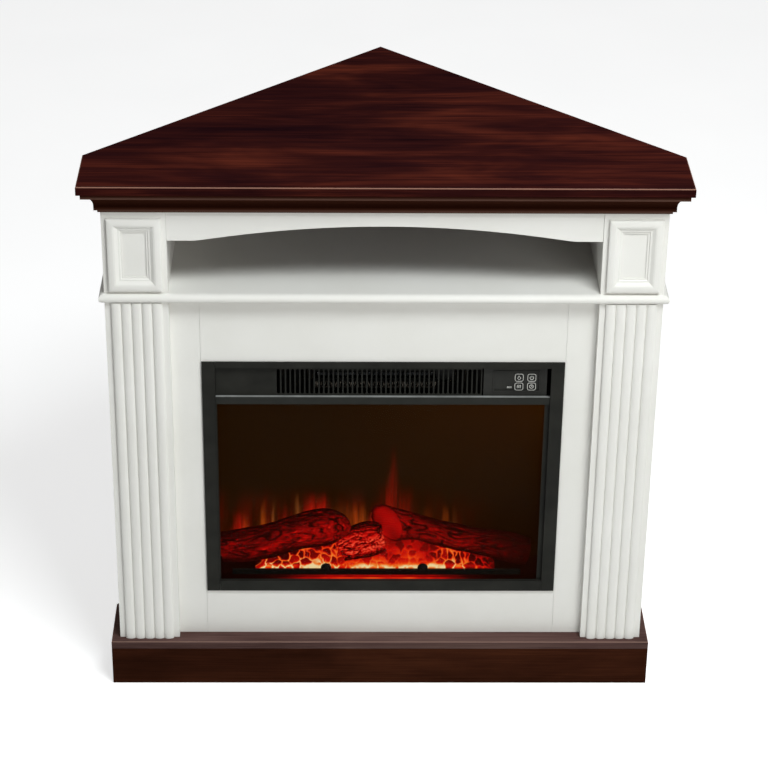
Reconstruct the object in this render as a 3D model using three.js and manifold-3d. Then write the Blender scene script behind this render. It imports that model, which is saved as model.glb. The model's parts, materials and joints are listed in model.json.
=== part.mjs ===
// A corner electric fireplace: a painted mantel with an arched valance over an open media shelf,
// reeded pilasters on a dark hearth, and a glazed electric insert with a glowing log set.
// Millimetres, +Z up, front towards -Y. The origin lies on the floor under the middle of the outline.
// The two wall planes meet at a right angle behind the apex: on each of them |x| + y is constant.

import * as THREE from 'three';
import { mergeVertices } from 'three/addons/utils/BufferGeometryUtils.js';
import Module from 'manifold-3d';

const wasm = await Module();
wasm.setup();

// ---------------------------------------------------------------- driving dimensions

const JOINT = 0.3; // clearance between pieces that touch

// Facets of round pieces
const SHAFT_SIDES = 12;
const ROUND_SIDES = 24;
const DRUM_SIDES = 32;

// Mantel outline
const HEIGHT = 944;
const TOP_WIDTH = 958;
const TOP_SIDE_LENGTH = 124; // straight side of the top before its 45 degree back edge
const TOP_OVERHANG = 33.5; // top board past the body, at the front and the sides
const WALL_CLEARANCE = 8; // the body stands this much clear of the wall planes, along Y
const BOARD = 15; // painted and veneered boards
const BACK_PANEL = 5; // thin back panels
const EASED = 1.6; // eased arris of the veneered boards
const EASED_STEPS = 3;

// Base
const PLINTH_HEIGHT = 70;
const PLINTH_OVERHANG = 14.5;

// Media shelf and the compartment over it
const COMPARTMENT_HEIGHT = 183.5; // from the shelf to the top board
const SHELF_THICKNESS = 16;
const SHELF_NOSE = 9; // bullnose past the body
const NOSE_STEPS = 8;
const VALANCE_HEIGHT = 91.8; // at its straight ends, under the top board
const VALANCE_SETBACK = 1.5;
const ARCH_END = 41; // straight end of the valance beside each capital
const ARCH_RISE = 25.4;
const ARCH_EASE = 0.06; // softness of the reverse curve at each end of the arch
const ARCH_STEPS = 40;

// Crown moulding under the top board: offsets from the body face
const CROWN_HEIGHT = 40.4;
const CROWN_STEP = 4;
const CROWN_STEP_HEIGHT = 5.5;
const CROWN_BEAD = 9.3;
const CROWN_BEAD_HEIGHT = 8;
const CROWN_FILLET = 27.5;
const CROWN_FILLET_HEIGHT = 8.3;
const CROWN_COVE_STEP = 1; // the fillet past the edge of the cove
const CROWN_STEPS = 7; // facets of the cove

// Pilasters and capital blocks
const PILASTER_WIDTH = 101.7;
const PILASTER_MARGIN = 9.8;
const REED_COUNT = 5;
const REED_BASE = 1.8; // the root of the reeds stands proud of the margin
const REED_RISE = 3.8;
const REED_STEPS = 8;
// Plain face around the applied moulding
const CAPITAL_SIDE_BORDER = 8.1;
const CAPITAL_LOW_BORDER = 5;
const CAPITAL_HIGH_BORDER = 11.5;
const MOULDING_WIDTH = 24;
const MOULDING_RISE = 7.5;
// Section of the applied moulding in shares of its width and rise, from its outer edge
const MOULDING_SECTION = [
  [0, 0],
  [1, 0],
  [1, 0.2],
  [0.89, 0.2],
  [0.84, 0.42],
  [0.73, 0.46],
  [0.62, 0.7],
  [0.51, 0.92],
  [0.4, 1],
  [0.26, 0.98],
  [0.11, 0.9],
  [0.03, 0.8],
  [0, 0.66],
];

// Back of the body
const RAIL_HEIGHT = 60;

// Fascia and insert
const INSERT_WIDTH = 590;
const FASCIA_MARGIN = 1; // fascia past the insert's trim on each side
const INSERT_HEIGHT = 442;
const INSERT_RISE = 87.2; // underside of the trim over the hearth
const INSERT_DEPTH = 141;
const TRIM_OVERLAP = 8; // trim over the edge of the cut-out
const HOUSING_CLEARANCE = 1;
const SHEET = 1.5;
const TRIM_STILE = 21.5;
const TRIM_TOP = 10.5;
const TRIM_BOTTOM = 19.7;
const TRIM_THICKNESS = 3;
const TRIM_LIP = 4;
const TRIM_LIP_THICKNESS = 1.5;

// Heater compartment
const GRILLE_HEIGHT = 54.2;
const GRILLE_SHEET = 1.2;
const GRILLE_RECESS = 8; // face of the grille behind the face of the trim
const SLOT_PITCH = 7.8;
const SLOT_WIDTH = 5.4;
const SLOT_HEIGHT = 46;
const SLOT_MARGIN = 102.4; // plain sheet from the left end to the first slot's middle
const SLOT_END = 4.5; // and at least this much past the last one
const SLOT_SEAT = 2.6; // plain sheet under the slots
const SLOT_STEPS = 4; // facets of a rounded slot end
const HEADER_HEIGHT = 13.4;
const HEADER_RECESS = 2;
const HEATER_WIDTH = 190;
const HEATER_CENTRE = -13;
const HEATER_HEIGHT = 18;
const HEATER_DEPTH = 10;
const HEATER_RISE = 11; // fins over the deck
const HEATER_BAR = 2.5;
const HEATER_FOOT = 5;
const FIN_COUNT = 31;
const FIN_SHEET = 0.9;
const BLOWER_RADIUS = 20;
const BLOWER_CLEARANCE = 2.5;
const BLOWER_BLADES = 22;
const BLOWER_DEPTH = 54;
const BLOWER_PLATE = 3;
const BLOWER_SHAFT = 6;
const BLOWER_GAP = 2; // from the fins, and from the wheel to its end plates
const BLOWER_DISC = 2;
const BLADE_SHEET = 0.9;
const BLADE_CHORD = 6;
const BLADE_TILT = 0.6; // in radians
const BLADE_INSET = 3.2; // middle of a blade inside the rim of the wheel
const SHAFT_OVERHANG = 15; // shaft in the motor
const MOUTH_SPAN = [-0.5, 0.33]; // openings of the blower, as shares of its bore
const INTAKE_SPAN = [0, 0.8];
const BLOWER_MOTOR_LENGTH = 30;
const BLOWER_MOTOR_DIAMETER = 38;

// Control panel
const CONTROL_GAP = 2.5; // dark joint between the grille and the control plate
const CONTROL_WIDTH = 103.5;
const CONTROL_END = 6; // dark strip between the control plate and the trim
const CONTROL_SHEET = 2;
const BEZEL_WIDTH = 77;
const BEZEL_HEIGHT = 38.4;
const BEZEL_OFFSET = 1.85; // middle of the bezel from the middle of the control plate
const BEZEL_RIM = 1.8;
const BEZEL_RADIUS = 2;
const BEZEL_RISE = 1.2; // raised rim in front of the control plate
const BEZEL_POCKET = 2.6; // inner plate behind the front of the rim
const BEZEL_TUB = 5.6; // depth of the tub that holds the inner plate
const BUTTON_SIZE = 14.2;
const BUTTON_RADIUS = 3.4;
const BUTTON_CLEARANCE = 0.4;
const BUTTON_PITCH_X = 20.6;
const BUTTON_PITCH_Z = 16.4;
const BUTTON_OFFSET_X = 14.6; // middle of the button block from the middle of the bezel
const BUTTON_OFFSET_Z = -2;
const BUTTON_PROUD = 1; // cap in front of the inner plate
const BUTTON_TRAVEL = 0.8;
const BUTTON_FLANGE = 1.2;
const BUTTON_LEDGE = 0.8; // flange past the cap on each side
const CIRCUIT_BOARD = 1.6;
const SWITCH_SIZE = 6;
const SWITCH_HEIGHT = 1.2;
const SPACER_DIAMETER = 3.4;

// Glass and fire scene
const GLASS_THICKNESS = 4;
const GLASS_TUCK = 10; // glass behind the header
const FLANGE_LEFT = 2; // the housing's flanges over the glass, seen beside the trim
const FLANGE_RIGHT = 8;
const SCREEN_DISTANCE = 76; // flame screen behind the glass
const SCREEN_THICKNESS = 3;
const REFLECTOR_GAP = 4.3; // reflector in front of the back wall
const REFLECTOR_BEND = 30;
const BED_THICKNESS = 3.5; // apron of the ember bed
const BED_FOOT = 6;
const BED_DEPTH = 68;
const APRON_RISE = 8.2; // apron over the floor of the housing
const FENDER_DISTANCE = 10;
const FENDER_DEPTH = 5;
const FENDER_HEIGHT = 9;
const FENDER_WIDTH = 492;
const FENDER_CENTRE = -7;
const FENDER_BALLS = [-86.3, 78.8]; // from the middle of the bar
const FENDER_BALL = 9;
const FENDER_BALL_RISE = 3; // middle of a ball over the bar
const MOUND_CENTRE = -9;
const MOUND_HALF = 206;
const MOUND_HEIGHT = 54;
const MOUND_TOE = 10; // height of the coals right behind the fender
const MOUND_CLIMB = 26; // depth over which the coals climb to the logs
const MOUND_END_SLOPE = 1.5;
const COAL_SIZE = 13;
const COAL_RISE = 3.2;
const COAL_DRIFT = 1.2; // how far the rows of coals wander, in radians
const COAL_DRIFT_LENGTH = 12;
const COAL_COLUMNS = 62;
const COAL_ROWS = 10;
const LED_STRIP_WIDTH = 460;
const LED_STRIP_DEPTH = 14;
const LED_COUNT = 16;
const LED_SIZE = 5;
const LED_RISE = 1.2;
const SPINDLE_DIAMETER = 5;
const SPINDLE_SCREEN_GAP = 7.5; // flakes behind the screen
const SPINDLE_HEIGHT = 44; // axis over the floor of the housing
const SPINDLE_CLEARANCE = 0.1; // radial, also for the blower's shaft
const FLAKE_REACH = 15;
const FLAKE_COUNT = 22;
const FLAKE_SHEET = 0.8;
const FLAKE_WIDTH = 12;
const FLAKE_TURN = 0.9; // turn from one pair of flakes to the next, in radians
const BUSH_LENGTH = 20;
const BUSH_CAP = 2; // closed end of the bush
const BUSH_SIZE = 16;
const SPINDLE_MOTOR_DIAMETER = 42;
const SPINDLE_MOTOR_LENGTH = 22;
const SPINDLE_BOSS_LENGTH = 16;
const SPINDLE_BOSS_DIAMETER = 12;
const GLAND_INSET = 49.5; // from the right inner wall of the housing
const GLAND_RISE = 26;
const GLAND_HOLE = 15;
const GLAND_FLANGE = 24;
const GLAND_LENGTH = 12;
const GLAND_BORE = 7;
const VENT_COUNT = 16;
const VENT_PITCH = 22;
const VENT_WIDTH = 6;
const VENT_HEIGHT = 34;

// ---------------------------------------------------------------- places worked out from them

const DEPTH = TOP_WIDTH / 2 + TOP_SIDE_LENGTH;
const TOP_FRONT = -DEPTH / 2;
const TOP_WALL = DEPTH / 2; // |x| + y on the back edges of the top
const TOP_UNDERSIDE = HEIGHT - BOARD;
const BODY_HALF = TOP_WIDTH / 2 - TOP_OVERHANG;
const BODY_FRONT = TOP_FRONT + TOP_OVERHANG;
const BODY_WALL = TOP_WALL - WALL_CLEARANCE;
const PILASTER_INNER = BODY_HALF - PILASTER_WIDTH;
const ARCH_HALF = PILASTER_INNER - ARCH_END;
const HEARTH_UNDERSIDE = PLINTH_HEIGHT + JOINT;
const HEARTH_TOP = HEARTH_UNDERSIDE + BOARD;
const BODY_BOTTOM = HEARTH_TOP + JOINT;
const SHELF_TOP = TOP_UNDERSIDE - COMPARTMENT_HEIGHT;
const SHELF_UNDERSIDE = SHELF_TOP - SHELF_THICKNESS;
const LOWER_TOP = SHELF_UNDERSIDE - JOINT;
const UPPER_BOTTOM = SHELF_TOP + JOINT;
const UPPER_TOP = TOP_UNDERSIDE - JOINT;
const BASE_HALF = BODY_HALF + PLINTH_OVERHANG;
const BASE_FRONT = BODY_FRONT - PLINTH_OVERHANG;
const SIDE_INNER = BODY_HALF - BOARD; // inner face of the outer sides
const FASCIA_FRONT = BODY_FRONT + BOARD + JOINT;
const FASCIA_HALF = INSERT_WIDTH / 2 + FASCIA_MARGIN;
const DIAGONAL = Math.SQRT2; // a thickness across a wall plane, read along Y

// Places inside the insert, whose own origin is the fascia's front face under the trim
const INSERT_BOTTOM = HEARTH_TOP + INSERT_RISE;
const TRIM_BACK = -JOINT;
const TRIM_FRONT = TRIM_BACK - TRIM_THICKNESS;
const INSERT_HALF = INSERT_WIDTH / 2;
const DAYLIGHT_HALF = INSERT_HALF - TRIM_STILE;
const CUTOUT_HALF = INSERT_HALF - TRIM_OVERLAP;
const CUTOUT_BOTTOM = TRIM_OVERLAP;
const CUTOUT_TOP = INSERT_HEIGHT - TRIM_OVERLAP;
const HOUSING_HALF = CUTOUT_HALF - HOUSING_CLEARANCE;
const HOUSING_FRONT = TRIM_BACK + TRIM_LIP + JOINT;
const HOUSING_BOTTOM = CUTOUT_BOTTOM + JOINT;
const HOUSING_TOP = CUTOUT_TOP - HOUSING_CLEARANCE;
const ROOM_HALF = HOUSING_HALF - SHEET;
const GLAND_X = ROOM_HALF - GLAND_INSET;
const ROOM_FLOOR = HOUSING_BOTTOM + SHEET;
const ROOM_TOP = HOUSING_TOP - SHEET;
const ROOM_BACK = INSERT_DEPTH - SHEET;
const GRILLE_TOP = INSERT_HEIGHT - TRIM_TOP - JOINT;
const GRILLE_BOTTOM = GRILLE_TOP - GRILLE_HEIGHT;
const GRILLE_FRONT = TRIM_FRONT + GRILLE_RECESS;
const GRILLE_LEFT = -DAYLIGHT_HALF + JOINT;
const CONTROL_RIGHT = DAYLIGHT_HALF - CONTROL_END;
const CONTROL_LEFT = CONTROL_RIGHT - CONTROL_WIDTH;
const GRILLE_RIGHT = CONTROL_LEFT - CONTROL_GAP;
const FIRST_SLOT = GRILLE_LEFT + SLOT_MARGIN;
const SLOT_COUNT = 1 + Math.floor((GRILLE_RIGHT - SLOT_END - FIRST_SLOT) / SLOT_PITCH);
const BEZEL_CENTRE = (CONTROL_LEFT + CONTROL_RIGHT) / 2 + BEZEL_OFFSET;
const GRILLE_MIDDLE = (GRILLE_TOP + GRILLE_BOTTOM) / 2;
const HEADER_TOP = GRILLE_BOTTOM - JOINT;
const HEADER_BOTTOM = HEADER_TOP - HEADER_HEIGHT;
const GLASS_FRONT = HOUSING_FRONT + SHEET + JOINT;
const GLASS_BACK = GLASS_FRONT + GLASS_THICKNESS;
const GLASS_TOP = HEADER_BOTTOM + GLASS_TUCK;
const DECK_FRONT = GLASS_BACK + JOINT;
const DECK_BOTTOM = GLASS_TOP - 2 * SHEET;
const DECK_TOP = DECK_BOTTOM + SHEET;
const SCREEN_FRONT = GLASS_BACK + SCREEN_DISTANCE;
const SCREEN_BACK = SCREEN_FRONT + SCREEN_THICKNESS;
const APRON_TOP = ROOM_FLOOR + APRON_RISE;
const FENDER_FRONT = GLASS_BACK + FENDER_DISTANCE;
const FENDER_BACK = FENDER_FRONT + FENDER_DEPTH;
const SPINDLE_Y = SCREEN_BACK + FLAKE_REACH + SPINDLE_SCREEN_GAP;
const SPINDLE_Z = ROOM_FLOOR + SPINDLE_HEIGHT;

// ---------------------------------------------------------------- finishes

const finish = (name, color, roughness, metalness = 0) => {
  const material = new THREE.MeshStandardMaterial({ color, roughness, metalness });
  material.name = name;
  return material;
};
const WHITE_PAINT = finish('white_paint', 0xe9e9e3, 0.45);
const DARK_VENEER = finish('dark_veneer', 0x3c1612, 0.3);
const HARDBOARD = finish('hardboard', 0xdad7cd, 0.7);
const RAW_TIMBER = finish('timber', 0xc9b08a, 0.8);
const BLACK_STEEL = finish('black_steel', 0x1f1f1c, 0.5, 0.5);
const BLACK_PLASTIC = finish('black_plastic', 0x141414, 0.25);
const SMOKED_GLASS = finish('glass', 0x30241c, 0.05);
const FLAME_FILM = finish('flame_film', 0x2a1404, 0.3);
const BRIGHT_METAL = finish('bright_metal', 0xc9c9c9, 0.25, 1);
const GALVANISED = finish('galvanised', 0x8f9496, 0.45, 0.9);
const LOG_RESIN = finish('log_resin', 0x6e1a12, 0.7);
const EMBER_RESIN = finish('ember_resin', 0xe0561e, 0.5);
const CIRCUIT = finish('circuit', 0x1f5a34, 0.5);

// ---------------------------------------------------------------- geometry helpers

const object = new THREE.Group();

function piece(parent, name, geometry, material) {
  const mesh = new THREE.Mesh(geometry, material);
  mesh.name = name;
  parent.add(mesh);
}

function signedVolume(geometry) {
  const bare = geometry.index ? geometry.toNonIndexed() : geometry;
  const place = bare.attributes.position;
  const [a, b, c] = [new THREE.Vector3(), new THREE.Vector3(), new THREE.Vector3()];
  let sum = 0;
  for (let i = 0; i < place.count; i += 3) {
    a.fromBufferAttribute(place, i);
    b.fromBufferAttribute(place, i + 1);
    c.fromBufferAttribute(place, i + 2);
    sum += a.dot(b.cross(c)) / 6;
  }
  return sum;
}

// A geometry from points and triangles, turned so that its faces point out.
function closedBody(points, triangles) {
  const geometry = new THREE.BufferGeometry();
  geometry.setAttribute('position', new THREE.Float32BufferAttribute(points.flat(), 3));
  geometry.setIndex(triangles.flat());
  if (signedVolume(geometry) < 0) {
    geometry.setIndex(triangles.flatMap(([a, b, c]) => [a, c, b]));
  }
  geometry.computeVertexNormals();
  return geometry;
}

// The side faces between rings of equal count, closed by the first ring again where wanted.
function ringFaces(ringCount, perRing, closed) {
  const triangles = [];
  const last = closed ? ringCount : ringCount - 1;
  for (let ring = 0; ring < last; ring += 1) {
    const next = ((ring + 1) % ringCount) * perRing;
    for (let i = 0; i < perRing; i += 1) {
      const j = (i + 1) % perRing;
      triangles.push([ring * perRing + i, ring * perRing + j, next + j]);
      triangles.push([ring * perRing + i, next + j, next + i]);
    }
  }
  return triangles;
}

// A body through rings of points, with flat caps whose shape is the 2D outline.
function loft(rings, capOutline) {
  const perRing = capOutline.length;
  const triangles = ringFaces(rings.length, perRing, false);
  const top = (rings.length - 1) * perRing;
  const contour = capOutline.map(([u, v]) => new THREE.Vector2(u, v));
  if (THREE.ShapeUtils.isClockWise(contour)) {
    throw new Error('a cap outline runs counter-clockwise');
  }
  for (const [a, b, c] of THREE.ShapeUtils.triangulateShape(contour, [])) {
    triangles.push([c, b, a]);
    triangles.push([top + a, top + b, top + c]);
  }
  return closedBody(rings.flat(), triangles);
}

const toShape = (points) => new THREE.Shape(points.map(([u, v]) => new THREE.Vector2(u, v)));

// An outline extruded from low to high. Its two coordinates are (x, y), (y, z) or (x, z).
function prism(axis, outline, low, high, holes = []) {
  const shape = toShape(outline);
  shape.holes = holes.map((hole) => new THREE.Path(toShape(hole).getPoints()));
  const geometry = new THREE.ExtrudeGeometry(shape, { depth: high - low, bevelEnabled: false });
  geometry.deleteAttribute('uv');
  geometry.translate(0, 0, axis === 'y' ? -high : low);
  const turn = new THREE.Matrix4();
  if (axis === 'x') {
    turn.set(0, 0, 1, 0, 1, 0, 0, 0, 0, 1, 0, 0, 0, 0, 0, 1);
  }
  if (axis === 'y') {
    turn.set(1, 0, 0, 0, 0, 0, -1, 0, 0, 1, 0, 0, 0, 0, 0, 1);
  }
  return geometry.applyMatrix4(turn);
}

function box(x0, x1, y0, y1, z0, z1) {
  const geometry = new THREE.BoxGeometry(x1 - x0, y1 - y0, z1 - z0);
  return geometry.translate((x0 + x1) / 2, (y0 + y1) / 2, (z0 + z1) / 2);
}

// A box by its middle and size in X and Z, and its two faces in Y.
function centredBox(x, z, width, height, y0, y1) {
  return box(x - width / 2, x + width / 2, y0, y1, z - height / 2, z + height / 2);
}

// A cylinder along X or Y between two stations.
function rod(axis, radius, start, end, across, z, sides = ROUND_SIDES) {
  const geometry = new THREE.CylinderGeometry(radius, radius, end - start, sides);
  if (axis === 'x') {
    return geometry.rotateZ(Math.PI / 2).translate((start + end) / 2, across, z);
  }
  return geometry.translate(across, (start + end) / 2, z);
}

function toManifold(geometry) {
  const bare = new THREE.BufferGeometry();
  bare.setAttribute('position', geometry.attributes.position);
  bare.setIndex(geometry.index);
  const merged = mergeVertices(bare, 1e-4);
  const vertProperties = new Float32Array(merged.attributes.position.array);
  const triVerts = new Uint32Array(merged.index.array);
  return new wasm.Manifold(new wasm.Mesh({ numProp: 3, vertProperties, triVerts }));
}

function fromManifold(manifold) {
  const mesh = manifold.getMesh();
  const geometry = new THREE.BufferGeometry();
  geometry.setAttribute('position', new THREE.BufferAttribute(mesh.vertProperties, 3));
  geometry.setIndex(new THREE.BufferAttribute(mesh.triVerts, 1));
  geometry.computeVertexNormals();
  return geometry;
}

function join(geometries) {
  return fromManifold(geometries.map(toManifold).reduce((all, next) => all.add(next)));
}

function cut(geometry, tools) {
  const tooling = tools.map(toManifold).reduce((all, next) => all.add(next));
  return fromManifold(toManifold(geometry).subtract(tooling));
}

function mirrored(geometry) {
  const source = geometry.index ? geometry : mergeVertices(geometry);
  const place = source.attributes.position;
  const points = [];
  for (let i = 0; i < place.count; i += 1) {
    points.push([-place.getX(i), place.getY(i), place.getZ(i)]);
  }
  const triangles = [];
  for (let i = 0; i < source.index.count; i += 3) {
    triangles.push([source.index.getX(i), source.index.getX(i + 1), source.index.getX(i + 2)]);
  }
  return closedBody(points, triangles);
}

// The same piece on both sides, from the geometry of the right one.
function pair(parent, name, rightGeometry, material) {
  piece(parent, `${name}_right`, rightGeometry, material);
  piece(parent, `${name}_left`, mirrored(rightGeometry), material);
}

function arc(centreU, centreV, radiusU, radiusV, from, to, steps) {
  const points = [];
  for (let i = 0; i <= steps; i += 1) {
    const angle = from + ((to - from) * i) / steps;
    points.push([centreU + radiusU * Math.cos(angle), centreV + radiusV * Math.sin(angle)]);
  }
  return points;
}

function roundedRectangle(centreU, centreV, width, height, radius, steps) {
  const points = [];
  for (let corner = 0; corner < 4; corner += 1) {
    const signU = corner === 0 || corner === 3 ? 1 : -1;
    const signV = corner < 2 ? 1 : -1;
    const u = centreU + signU * (width / 2 - radius);
    const v = centreV + signV * (height / 2 - radius);
    const from = (corner * Math.PI) / 2;
    points.push(...arc(u, v, radius, radius, from, from + Math.PI / 2, steps));
  }
  return points;
}

// ---------------------------------------------------------------- boards with the corner outline

const cornerOutline = (half, front, wall) => [
  [-half, front],
  [half, front],
  [half, wall - half],
  [0, wall],
  [-half, wall - half],
];

// A board with the corner outline. Each edge profile point is [inset, height], from bottom to top.
function cornerBoard(half, front, wall, edgeProfile, backFollows) {
  const rings = edgeProfile.map(([inset, z]) => {
    const backInset = backFollows ? inset * DIAGONAL : 0;
    const outline = cornerOutline(half - inset, front + inset, wall - backInset);
    return outline.map(([x, y]) => [x, y, z]);
  });
  return loft(rings, cornerOutline(half, front, wall));
}

function easedEdge(low, high, radius) {
  const lower = arc(radius, low + radius, radius, radius, -Math.PI / 2, -Math.PI, EASED_STEPS);
  const upper = arc(radius, high - radius, radius, radius, Math.PI, Math.PI / 2, EASED_STEPS);
  return [...lower, ...upper];
}

function bullnoseEdge(low, high, reach) {
  const middle = (low + high) / 2;
  return arc(reach, middle, reach, (high - low) / 2, -Math.PI / 2, -1.5 * Math.PI, NOSE_STEPS);
}

function addCornerBoards(mantel) {
  const topEdge = easedEdge(TOP_UNDERSIDE, HEIGHT, EASED);
  const top = cornerBoard(TOP_WIDTH / 2, TOP_FRONT, TOP_WALL, topEdge, true);
  piece(mantel, 'top_board', top, DARK_VENEER);
  const nose = bullnoseEdge(SHELF_UNDERSIDE, SHELF_TOP, SHELF_NOSE);
  const shelfHalf = BODY_HALF + SHELF_NOSE;
  const shelf = cornerBoard(shelfHalf, BODY_FRONT - SHELF_NOSE, BODY_WALL, nose, false);
  piece(mantel, 'media_shelf', shelf, WHITE_PAINT);
  const hearthEdge = easedEdge(HEARTH_UNDERSIDE, HEARTH_TOP, EASED);
  const hearth = cornerBoard(BASE_HALF, BASE_FRONT, BODY_WALL, hearthEdge, true);
  piece(mantel, 'hearth_board', hearth, DARK_VENEER);
}

// ---------------------------------------------------------------- base

// The plan of a board that runs along the right wall plane, its ends cut along Y.
const wallRun = (wall, thickness, inner, outer) => [
  [inner, wall - thickness * DIAGONAL - inner],
  [outer, wall - thickness * DIAGONAL - outer],
  [outer, wall - outer],
  [inner, wall - inner],
];

// The plan of the right outer side, from a front station to the wall plane.
const sidePlan = (outer, front, wall) => [
  [outer - BOARD, front],
  [outer, front],
  [outer, wall - outer],
  [outer - BOARD, wall - outer + BOARD],
];

function addPlinth(mantel) {
  const back = BASE_FRONT + BOARD;
  const front = box(-BASE_HALF, BASE_HALF, BASE_FRONT, back, 0, PLINTH_HEIGHT);
  piece(mantel, 'plinth_front', front, DARK_VENEER);
  const side = sidePlan(BASE_HALF, back + JOINT, BODY_WALL);
  pair(mantel, 'plinth_side', prism('z', side, 0, PLINTH_HEIGHT), DARK_VENEER);
  const rear = wallRun(BODY_WALL, BOARD, JOINT, BASE_HALF - BOARD - JOINT);
  pair(mantel, 'plinth_back', prism('z', rear, 0, PLINTH_HEIGHT), RAW_TIMBER);
}

// ---------------------------------------------------------------- crown moulding

// The moulding's section: [offset from the body face, height], counter-clockwise.
function crownSection() {
  const bottom = UPPER_TOP - CROWN_HEIGHT;
  const beadTop = bottom + CROWN_STEP_HEIGHT + CROWN_BEAD_HEIGHT;
  const coveTop = UPPER_TOP - CROWN_FILLET_HEIGHT;
  const coveEdge = CROWN_FILLET - CROWN_COVE_STEP;
  const coveReach = coveEdge - CROWN_BEAD;
  return [
    [JOINT, bottom],
    [CROWN_STEP, bottom],
    [CROWN_STEP, bottom + CROWN_STEP_HEIGHT],
    [CROWN_BEAD, bottom + CROWN_STEP_HEIGHT],
    ...arc(coveEdge, beadTop, coveReach, coveTop - beadTop, Math.PI, Math.PI / 2, CROWN_STEPS),
    [CROWN_FILLET, coveTop],
    [CROWN_FILLET, UPPER_TOP],
    [JOINT, UPPER_TOP],
  ];
}

function addCrown(mantel) {
  const section = crownSection();
  const miterGap = JOINT / 2;
  const frontRings = [1, -1].map((side) =>
    section.map(([out, z]) => [side * (BODY_HALF + out - miterGap), BODY_FRONT - out, z]));
  piece(mantel, 'crown_front', loft(frontRings, section), DARK_VENEER);
  const sideRings = [
    section.map(([out, z]) => [BODY_HALF + out, BODY_FRONT - out + miterGap, z]),
    section.map(([out, z]) => [BODY_HALF + out, BODY_WALL - BODY_HALF - out, z]),
  ];
  pair(mantel, 'crown_side', loft(sideRings, section), DARK_VENEER);
}

// ---------------------------------------------------------------- upper body

function archHeight(x) {
  const hump = Math.max(0, 1 - (x / ARCH_HALF) ** 2);
  return (ARCH_RISE * hump * hump * (1 + ARCH_EASE)) / (hump + ARCH_EASE);
}

function addValance(mantel) {
  const half = PILASTER_INNER - JOINT;
  const bottom = TOP_UNDERSIDE - VALANCE_HEIGHT;
  const outline = [[-half, bottom]];
  for (let i = 0; i <= ARCH_STEPS; i += 1) {
    const x = -ARCH_HALF * Math.cos((Math.PI * i) / ARCH_STEPS);
    outline.push([x, bottom + archHeight(x)]);
  }
  outline.push([half, bottom], [half, UPPER_TOP], [-half, UPPER_TOP]);
  const front = BODY_FRONT + VALANCE_SETBACK;
  piece(mantel, 'arched_valance', prism('y', outline, front, front + BOARD), WHITE_PAINT);
}

// A picture-frame ring around a block face, mitred at its four corners.
function frameMoulding(centreX, centreZ, width, height, face) {
  const section = MOULDING_SECTION.map(([inward, rise]) =>
    [inward * MOULDING_WIDTH, rise * MOULDING_RISE]);
  const corners = [[-1, -1], [1, -1], [1, 1], [-1, 1]];
  const rings = corners.map(([signX, signZ]) => section.map(([inward, rise]) => [
    centreX + signX * (width / 2 - inward),
    face - rise,
    centreZ + signZ * (height / 2 - inward),
  ]));
  return closedBody(rings.flat(), ringFaces(rings.length, section.length, true));
}

function addCapitals(mantel) {
  const back = BODY_FRONT + BOARD;
  const plan = [
    [PILASTER_INNER, BODY_FRONT],
    [BODY_HALF, BODY_FRONT],
    [BODY_HALF, BODY_WALL - BODY_HALF],
    [SIDE_INNER, BODY_WALL - SIDE_INNER],
    [SIDE_INNER, back],
    [PILASTER_INNER, back],
  ];
  pair(mantel, 'capital', prism('z', plan, UPPER_BOTTOM, UPPER_TOP), WHITE_PAINT);
  const mouldingTop = UPPER_TOP - CROWN_HEIGHT - CAPITAL_HIGH_BORDER;
  const mouldingBottom = UPPER_BOTTOM + CAPITAL_LOW_BORDER;
  const width = PILASTER_WIDTH - 2 * CAPITAL_SIDE_BORDER;
  const height = mouldingTop - mouldingBottom;
  const centreX = BODY_HALF - PILASTER_WIDTH / 2;
  const centreZ = (mouldingTop + mouldingBottom) / 2;
  const moulding = frameMoulding(centreX, centreZ, width, height, BODY_FRONT - JOINT);
  pair(mantel, 'capital_moulding', moulding, WHITE_PAINT);
}

function addCompartment(mantel) {
  const front = BODY_FRONT + BOARD + JOINT;
  const wall = BODY_WALL - (BACK_PANEL + JOINT) * DIAGONAL;
  const side = sidePlan(PILASTER_INNER + BOARD, front, wall);
  pair(mantel, 'compartment_side', prism('z', side, UPPER_BOTTOM, UPPER_TOP), WHITE_PAINT);
  const back = wallRun(BODY_WALL, BACK_PANEL, JOINT, SIDE_INNER - JOINT);
  pair(mantel, 'compartment_back', prism('z', back, UPPER_BOTTOM, UPPER_TOP), HARDBOARD);
}

// ---------------------------------------------------------------- lower body

function pilasterPlan() {
  const start = PILASTER_INNER + PILASTER_MARGIN;
  const reedWidth = (PILASTER_WIDTH - 2 * PILASTER_MARGIN) / REED_COUNT;
  const root = BODY_FRONT - REED_BASE;
  const plan = [[PILASTER_INNER, BODY_FRONT], [start, BODY_FRONT], [start, root]];
  for (let reed = 0; reed < REED_COUNT; reed += 1) {
    const middle = start + (reed + 0.5) * reedWidth;
    const round = arc(middle, root, reedWidth / 2, REED_RISE, Math.PI, 2 * Math.PI, REED_STEPS);
    plan.push(...round.slice(1));
  }
  const back = BODY_FRONT + BOARD;
  plan.push([BODY_HALF - PILASTER_MARGIN, BODY_FRONT], [BODY_HALF, BODY_FRONT]);
  plan.push([BODY_HALF, back], [PILASTER_INNER, back]);
  return plan;
}

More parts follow.
